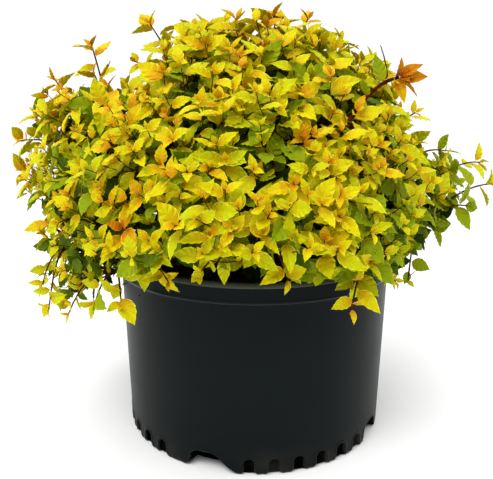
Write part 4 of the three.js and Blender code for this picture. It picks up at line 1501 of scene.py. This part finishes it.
# %% [markdown]
# ## The leaves' colours
#
# The youngest leaves at the tips are copper and orange. They turn gold, then lemon, and the older ones
# further back go through lime to green, deepest where little light comes. That deepest green is partly
# the leaves' own colour and partly painted shade. The colour belongs to a place on the plant, so it is
# dealt out by spray and by the leaf's rank on it, as one of eight rungs of plain base colours. A pattern
# painted over thousands of small leaves would only blur them.

# %% The ladder of leaf colours
LEAF_COLOURS = {  # stalk end, middle, blade, teeth
    "copper": ((168, 90, 10), (180, 106, 8), (190, 124, 8), (206, 156, 20)),
    "orange": ((186, 116, 6), (194, 138, 5), (202, 160, 5), (218, 196, 24)),
    "amber": ((200, 142, 8), (204, 162, 5), (206, 184, 5), (226, 214, 40)),
    "gold": ((204, 166, 6), (204, 182, 4), (204, 194, 4), (226, 222, 52)),
    "lemon": ((194, 172, 5), (192, 186, 4), (188, 190, 6), (216, 222, 60)),
    "lime": ((146, 152, 6), (138, 152, 6), (132, 150, 10), (166, 184, 48)),
    "green": ((98, 112, 8), (86, 108, 10), (82, 106, 12), (112, 136, 36)),
    # the shade rung is the leaves' own deep green, made darker still as painted shade
    "shade": ((58, 78, 8), (50, 74, 10), (48, 72, 12), (66, 92, 24)),
}
RUNGS = list(LEAF_COLOURS)
ZONES = ["stalk_end", "middle", "blade", "teeth"]


def make_leaf_material(name, colour):
    material, bench = begin_material(name)
    finish_material(bench, {"Base Color": colour_of(*colour), "Roughness": 0.6, "Specular IOR Level": 0.1})
    return material


leaf_materials = {
    rung: [make_leaf_material(f"{rung}_{zone}", colour) for zone, colour in zip(ZONES, colours)]
    for rung, colours in LEAF_COLOURS.items()
}
print("leaf colours:", ", ".join(RUNGS))

# %% [markdown]
# ## Leaves on their sprays
#
# A leaf turns its face to the light, outwards and towards the bright side, sags a little, and is rolled
# about its midrib by chance. Young leaves are slender and old ones round. A leaf that would go beyond the
# crown's reach, hang below the hem or touch the pot is left out. Each leaf that stays is only noted here,
# and all of one colour are built together further down.

# %% Where a leaf may be, and how it turns
LEAF_SAG = 0.12
LEAF_ROLL = math.radians(33)  # how far a leaf may turn about its own midrib
TURN_OUT = 0.8  # how much its face turns outwards, and the way that the light has drawn all of them
TURN_TO_SUN = Vector((0, -0.6, 0.3))
MOUND_LEEWAY = 5  # how far a leaf may pass the mound's outline
FREE_REACH = 296.0  # how far from the foot one on a free shoot may go
INSIDE_POT = LIP_INNER_RADIUS - 4
LEAF_CLEARANCES = {"rim": 3, "lip": 1, "mix": 5}
ROUND_FROM = RUNGS.index("lime")

leaves = {rung: [] for rung in RUNGS}


def mound_limit(direction):
    return fine_reach(direction) + MOUND_LEEWAY


def free_limit(direction):
    return FREE_REACH


def leaf_fits(root, tip, limit):
    """Whether a leaf stays within its limit, above the hem and clear of the pot and the mix."""
    for spot in (tip, root.lerp(tip, 0.6)):
        from_foot = spot - FOOT
        from_axis = math.hypot(spot.x, spot.y)
        if from_foot.length > limit(from_foot.normalized()):
            return False
        if limit is mound_limit and from_axis > INSIDE_POT and not above_hem(spot, 0):
            return False
        over_rim = INSIDE_POT < from_axis < RIM_RADIUS + LEAF_CLEARANCES["rim"]
        if over_rim and spot.z < POT_HEIGHT + LEAF_CLEARANCES["lip"]:
            return False
        if from_axis <= INSIDE_POT and spot.z < MIX_TOP + LEAF_CLEARANCES["mix"]:
            return False
    return True


def sideways_of(onward):
    """Two directions square to a third, to turn leaves about it."""
    upright = Vector((0, 0, 1)) if abs(onward.z) < 0.95 else Vector((1, 0, 0))
    side = onward.cross(upright).normalized()
    return side, onward.cross(side)


def set_leaf(root, onward, turn, opening, size, tint, draw, limit):
    """Adds one leaf to its colour's list, turned about the twig and opened away from it."""
    side, other = sideways_of(onward)
    out = side * math.cos(turn) + other * math.sin(turn)
    outwards = onward * math.cos(opening) + out * math.sin(opening)
    outwards = (outwards - Vector((0, 0, LEAF_SAG * math.sin(opening)))).normalized()
    light = onward + (root - FOOT).normalized() * TURN_OUT + TURN_TO_SUN
    face = (light - outwards * light.dot(outwards)).normalized()
    roll = LEAF_ROLL * (2 * draw() - 1)
    face = face * math.cos(roll) + outwards.cross(face) * math.sin(roll)
    if leaf_fits(root, root + outwards * size, limit):
        rung = max(0, min(len(RUNGS) - 1, round(tint)))
        first, last = ROUND_SHAPES if rung >= ROUND_FROM else SLENDER_SHAPES
        shape = first + int(draw() * (last - first))
        leaves[RUNGS[rung]].append((root, outwards, face, size, shape))


print(f"a leaf may pass the mound's outline by {MOUND_LEEWAY} mm")

# %% [markdown]
# On a twig the leaves stand in a spiral, each turned by the golden angle from the last. At the tip they
# are small and close together and still point forwards, and further back they are larger, wider apart
# and spread flat, so that a tip seen from in front looks like a star. The tip of the twig itself turns
# to the light. Lists by rank say how the leaves change from the tip back, and a ladder of colours says
# how green a spray is before its leaves' own age is added.

# %% Dress the sprays
LEAVES_PER_SPRAY = 14
LEAFY_SHARE = 0.9  # of a twig's length, from its tip back
LEAF_LENGTHS = [8, 12, 17, 23, 26, 27, 27]  # from the tip back; the last goes on
LEAF_PLACES = [0, 1.0, 2.5, 4.5, 8, 12, 17]  # back along the twig
LEAF_GAP = 7  # between the leaves further back
LEAF_OPENINGS = [22, 38, 50, 58, 65, 73, 80]  # degrees between leaf and twig
LEAF_TURN = 137.5
TIP_TINT = 3.3  # the rung of a common spray's leaves, before their rank is counted
LOW_TINT = 1.0  # how much greener the sprays are that hang lowest
LOW_UNDER = 30  # the elevation in degrees from which down that counts
DEEPER_GREENER_AND_SHADED = 11  # how much greener and darker a spray is that ends at the foot, and by its share one on the way, partly as painted shade
RANK_SHIFT = [-1.6, -1.3, -0.8, -0.3, 0.1, 0.5, 1.0, 1.6, 2.2, 2.7, 3.1, 3.4]  # greener with age, in rungs
SPRAY_TINTS, LEAF_TINTS = 2.2, 0.7  # how widely the rungs of sprays, and of a spray's leaves, are drawn
LEAF_TURNS, LEAF_OPENS = 30, 26  # and their turns and openings, in degrees
LEAF_VIGOUR = (0.78, 0.4)  # a leaf's least size, and how much more it may have
SPRAY_VIGOUR = (0.8, 1.18)  # the least and the most that a spray's leaves are larger than common
LONGEST_LEAF = 28

TIP_TURN, FREE_TIP_TURN = 0.5, 0.7  # how far a tip turns outwards, and how far a free shoot's does
FORE_AND_AFT, FREE_RISE = 3, 0.6  # how much more of that is forwards or back, and how much is up
LIGHT_SEEKING = 0.15  # how far every tip turns upwards
TURNED_TIP = 18  # the length of the part that turns
HIGH_LARGER = 0.42  # how much larger the leaves of the strong upright shoots are
HIGH_FROM, HIGH_OVER = 40, 40  # from this elevation, and in full after so many degrees more
LOOSE_FROM = 6  # leaves stand further apart behind this length of a loose spray
ROSETTE_RANKS = 3  # the ranks after these are behind the rosette
WEEPING_AXIS, WEEPING_SPREAD = heading(-152, -6), 20  # where old canes weep
WEEPING_SMALLER, WEEPING_GREENER = 0.34, 2.6  # and their leaves have stayed small and turned green
OLDER_AXIS, OLDER_SPREAD, OLDER_GREENER = heading(-14, 13), 22, 2.0  # where the low shoots are older


def from_list(values, rank, beyond=0.0):
    """The value for a rank, going on evenly past the list's end."""
    if rank < len(values):
        return values[rank]
    return values[-1] + beyond * (rank - len(values) + 1)


def dress_spray(spray, limit):
    """Sets the leaves of one spray, from its tip back until its leafy part or their number ends."""
    draw = spray.random
    length = spray.curve.length
    tip = (spray.curve.end - FOOT).normalized()
    low = 1 - min(1.0, max(0.0, elevation_of(tip) / LOW_UNDER))
    ladder = TIP_TINT + LOW_TINT * low + SPRAY_TINTS * (draw() - 0.5)
    ladder += DEEPER_GREENER_AND_SHADED * (1 - spray.depth)
    ladder += spray.older
    ladder += OLDER_GREENER * near(tip, OLDER_AXIS, OLDER_SPREAD)
    high = smooth_step((elevation_of(tip) - HIGH_FROM) / HIGH_OVER)
    weeping = near(tip, WEEPING_AXIS, WEEPING_SPREAD)
    vigour = SPRAY_VIGOUR[0] + (SPRAY_VIGOUR[1] - SPRAY_VIGOUR[0]) * draw()
    larger = vigour * spray.larger * (1 + HIGH_LARGER * high)
    smaller = 1 - WEEPING_SMALLER * weeping
    if limit is mound_limit:
        larger *= smaller
    first_turn = 360 * draw()
    for rank in range(LEAVES_PER_SPRAY):
        back = from_list(LEAF_PLACES, rank, LEAF_GAP)
        back += max(0.0, back - LOOSE_FROM) * (spray.spacing - 1) * (1 - weeping)
        if back > LEAFY_SHARE * length:
            break
        t = 1 - back / length
        near_tip = max(0.0, 1 - back / TURNED_TIP)
        away = (spray.curve.point(t) - FOOT).normalized()
        gaze = away * TIP_TURN
        if limit is free_limit:
            gaze = Vector((away.x, FORE_AND_AFT * away.y, FREE_RISE)) * FREE_TIP_TURN
        onward = (spray.curve.onward(t) + (gaze + Vector((0, 0, LIGHT_SEEKING))) * near_tip).normalized()
        turn = math.radians(first_turn + LEAF_TURN * rank + LEAF_TURNS * (draw() - 0.5))
        opening = math.radians(from_list(LEAF_OPENINGS, rank, 0.5) + LEAF_OPENS * (draw() - 0.5))
        size = from_list(LEAF_LENGTHS, rank) * (LEAF_VIGOUR[0] + LEAF_VIGOUR[1] * draw()) * larger
        tint = ladder + from_list(RANK_SHIFT, rank, 0.4) + LEAF_TINTS * (draw() - 0.5)
        if rank > ROSETTE_RANKS:
            tint = min(tint + WEEPING_GREENER * weeping, spray.greenest - weeping)
            size *= smaller / (1 + (spray.larger - 1) * weeping)
        tint = min(tint, spray.greenest)
        set_leaf(spray.curve.point(t), onward, turn, opening, min(size, LONGEST_LEAF), tint, draw, limit)


for limit, dressed in ((mound_limit, sprays + shoot_sprays), (free_limit, outgrown)):
    for spray in dressed:
        dress_spray(spray, limit)
leader_draw = random_stream(77)
for back, turn, opening, size, tint in LEADER_LEAVES:
    t = 1 - back / leader_curve.length
    spot, onward = leader_curve.point(t), leader_curve.onward(t)
    set_leaf(spot, onward, math.radians(turn), math.radians(opening), size, tint, leader_draw, free_limit)
print("leaves:", {rung: len(found) for rung, found in leaves.items()})

# %% [markdown]
# Deep inside the crown the leaves are few, large and dark, and their dark green is partly painted shade.
# They still matter, because they close the view through the shrub and give the bright leaves their dark
# ground. They stand along the canes, the stems and the inner parts of the shoots.

# %% Set the shaded leaves
SHADED_GAP = 4.5
SHADED_FROM, SHADED_SHARE = 0.06, 0.9  # where on a limb they begin, and how much of it they take up
SHADED_LENGTH = 23
SHADED_VIGOUR = (0.8, 0.5)  # the least of that, and how much more
SHADED_SMALLER = 0.5  # how much of it is missing where the old canes weep
SHADED_OPENINGS = (55, 35)  # degrees, the least and how much more
# The shaded leaves start on the darkest rung, partly as painted shade.
SHADED_TINT, TOWARDS_TIP_PALER, SHADED_TINTS, WEEPING_PALER = 7.0, 1.6, 0.8, 1.8  # in rungs
SHADED_ABOVE_HEM = 6

shaded = random_stream(4242)
for cane in canes:
    for limb in [cane.curve, cane.stem] + cane.shoots:
        for k in range(int(SHADED_SHARE * limb.length / SHADED_GAP)):
            t = SHADED_FROM + k * SHADED_GAP / limb.length
            turn = math.radians(LEAF_TURN * k + 40 * shaded())
            opening = math.radians(SHADED_OPENINGS[0] + SHADED_OPENINGS[1] * shaded())
            spot = limb.point(t)
            direction = (spot - FOOT).normalized()
            weeping = near(direction, WEEPING_AXIS, WEEPING_SPREAD)
            size = SHADED_LENGTH * (SHADED_VIGOUR[0] + SHADED_VIGOUR[1] * shaded())
            size *= 1 - SHADED_SMALLER * weeping
            tint = SHADED_TINT - (0.0 if limb is cane.curve else TOWARDS_TIP_PALER * t)
            tint -= SHADED_TINTS * shaded()
            tint -= WEEPING_PALER * weeping
            if shaded() > sparse(direction) and above_hem(spot, SHADED_ABOVE_HEM):
                set_leaf(spot, limb.onward(t), turn, opening, size, tint, shaded, mound_limit)
print("leaves:", {rung: len(found) for rung, found in leaves.items()})

# %% [markdown]
# The leaves of one rung become one piece. Each leaf is a point that carries which way it points, which
# way its face looks, its size and its shape. The tree below puts the leaf there, and gives each zone of
# it the colour of its own.

# %% The foliage tree
def foliage_tree():
    inputs = {"Shapes": "collection"} | {zone: "material" for zone in ZONES}
    bench, given = begin_tree("foliage", inputs)
    turned = bench.node("FunctionNodeAxesToRotation", {"primary_axis": "X", "secondary_axis": "Z"}, {
        "Primary Axis": kept(bench, "outwards", "FLOAT_VECTOR"),
        "Secondary Axis": kept(bench, "face", "FLOAT_VECTOR"),
    })
    placed = bench.node("GeometryNodeInstanceOnPoints", sockets={
        "Points": given.of("Geometry"), "Instance": shapes_of(bench, given.of("Shapes")),
        "Pick Instance": True, "Instance Index": kept(bench, "shape", "INT"), "Rotation": turned,
        "Scale": kept(bench, "size"),
    })
    finishes = []
    for number, zone in enumerate(ZONES):
        here = bench.node("FunctionNodeCompare", {"data_type": "INT", "operation": "EQUAL"}, {
            "A": kept(bench, "zone", "INT"), "B": number,
        })
        finishes.append((here, given.of(zone)))
    return finish_tree(bench, placed, *finishes)


def leaf_points(name, found):
    """The leaves of one rung as points that carry what the tree needs."""
    roots, outwards, faces, sizes, shapes = zip(*found)
    mesh = plain_mesh(name, [tuple(root * MM) for root in roots], [], [])
    for label, vectors in (("outwards", outwards), ("face", faces)):
        store(mesh, label, "FLOAT_VECTOR", [part for vector in vectors for part in vector])
    store(mesh, "size", "FLOAT", [size * MM for size in sizes])
    store(mesh, "shape", "INT", shapes)
    return add_object(name, mesh)


leaves_tree = foliage_tree()
triangles = 0
for rung, found in leaves.items():
    points = leaf_points(f"{rung}_points", found)
    colours = dict(zip(ZONES, leaf_materials[rung]))
    mesh = grow_mesh(points, leaves_tree, {"Shapes": leaf_group} | colours)
    bpy.data.objects.remove(points)
    foliage = add_object(f"leaves_{rung}", mesh)
    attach(foliage, BODY)
    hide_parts(*foliage_nodes)
    triangles += len(mesh.polygons)
    print(f"leaves_{rung}: {len(mesh.polygons)} triangles")
for shape in leaf_shapes:
    bpy.data.objects.remove(shape)
print(f"{triangles} triangles of leaves in all")
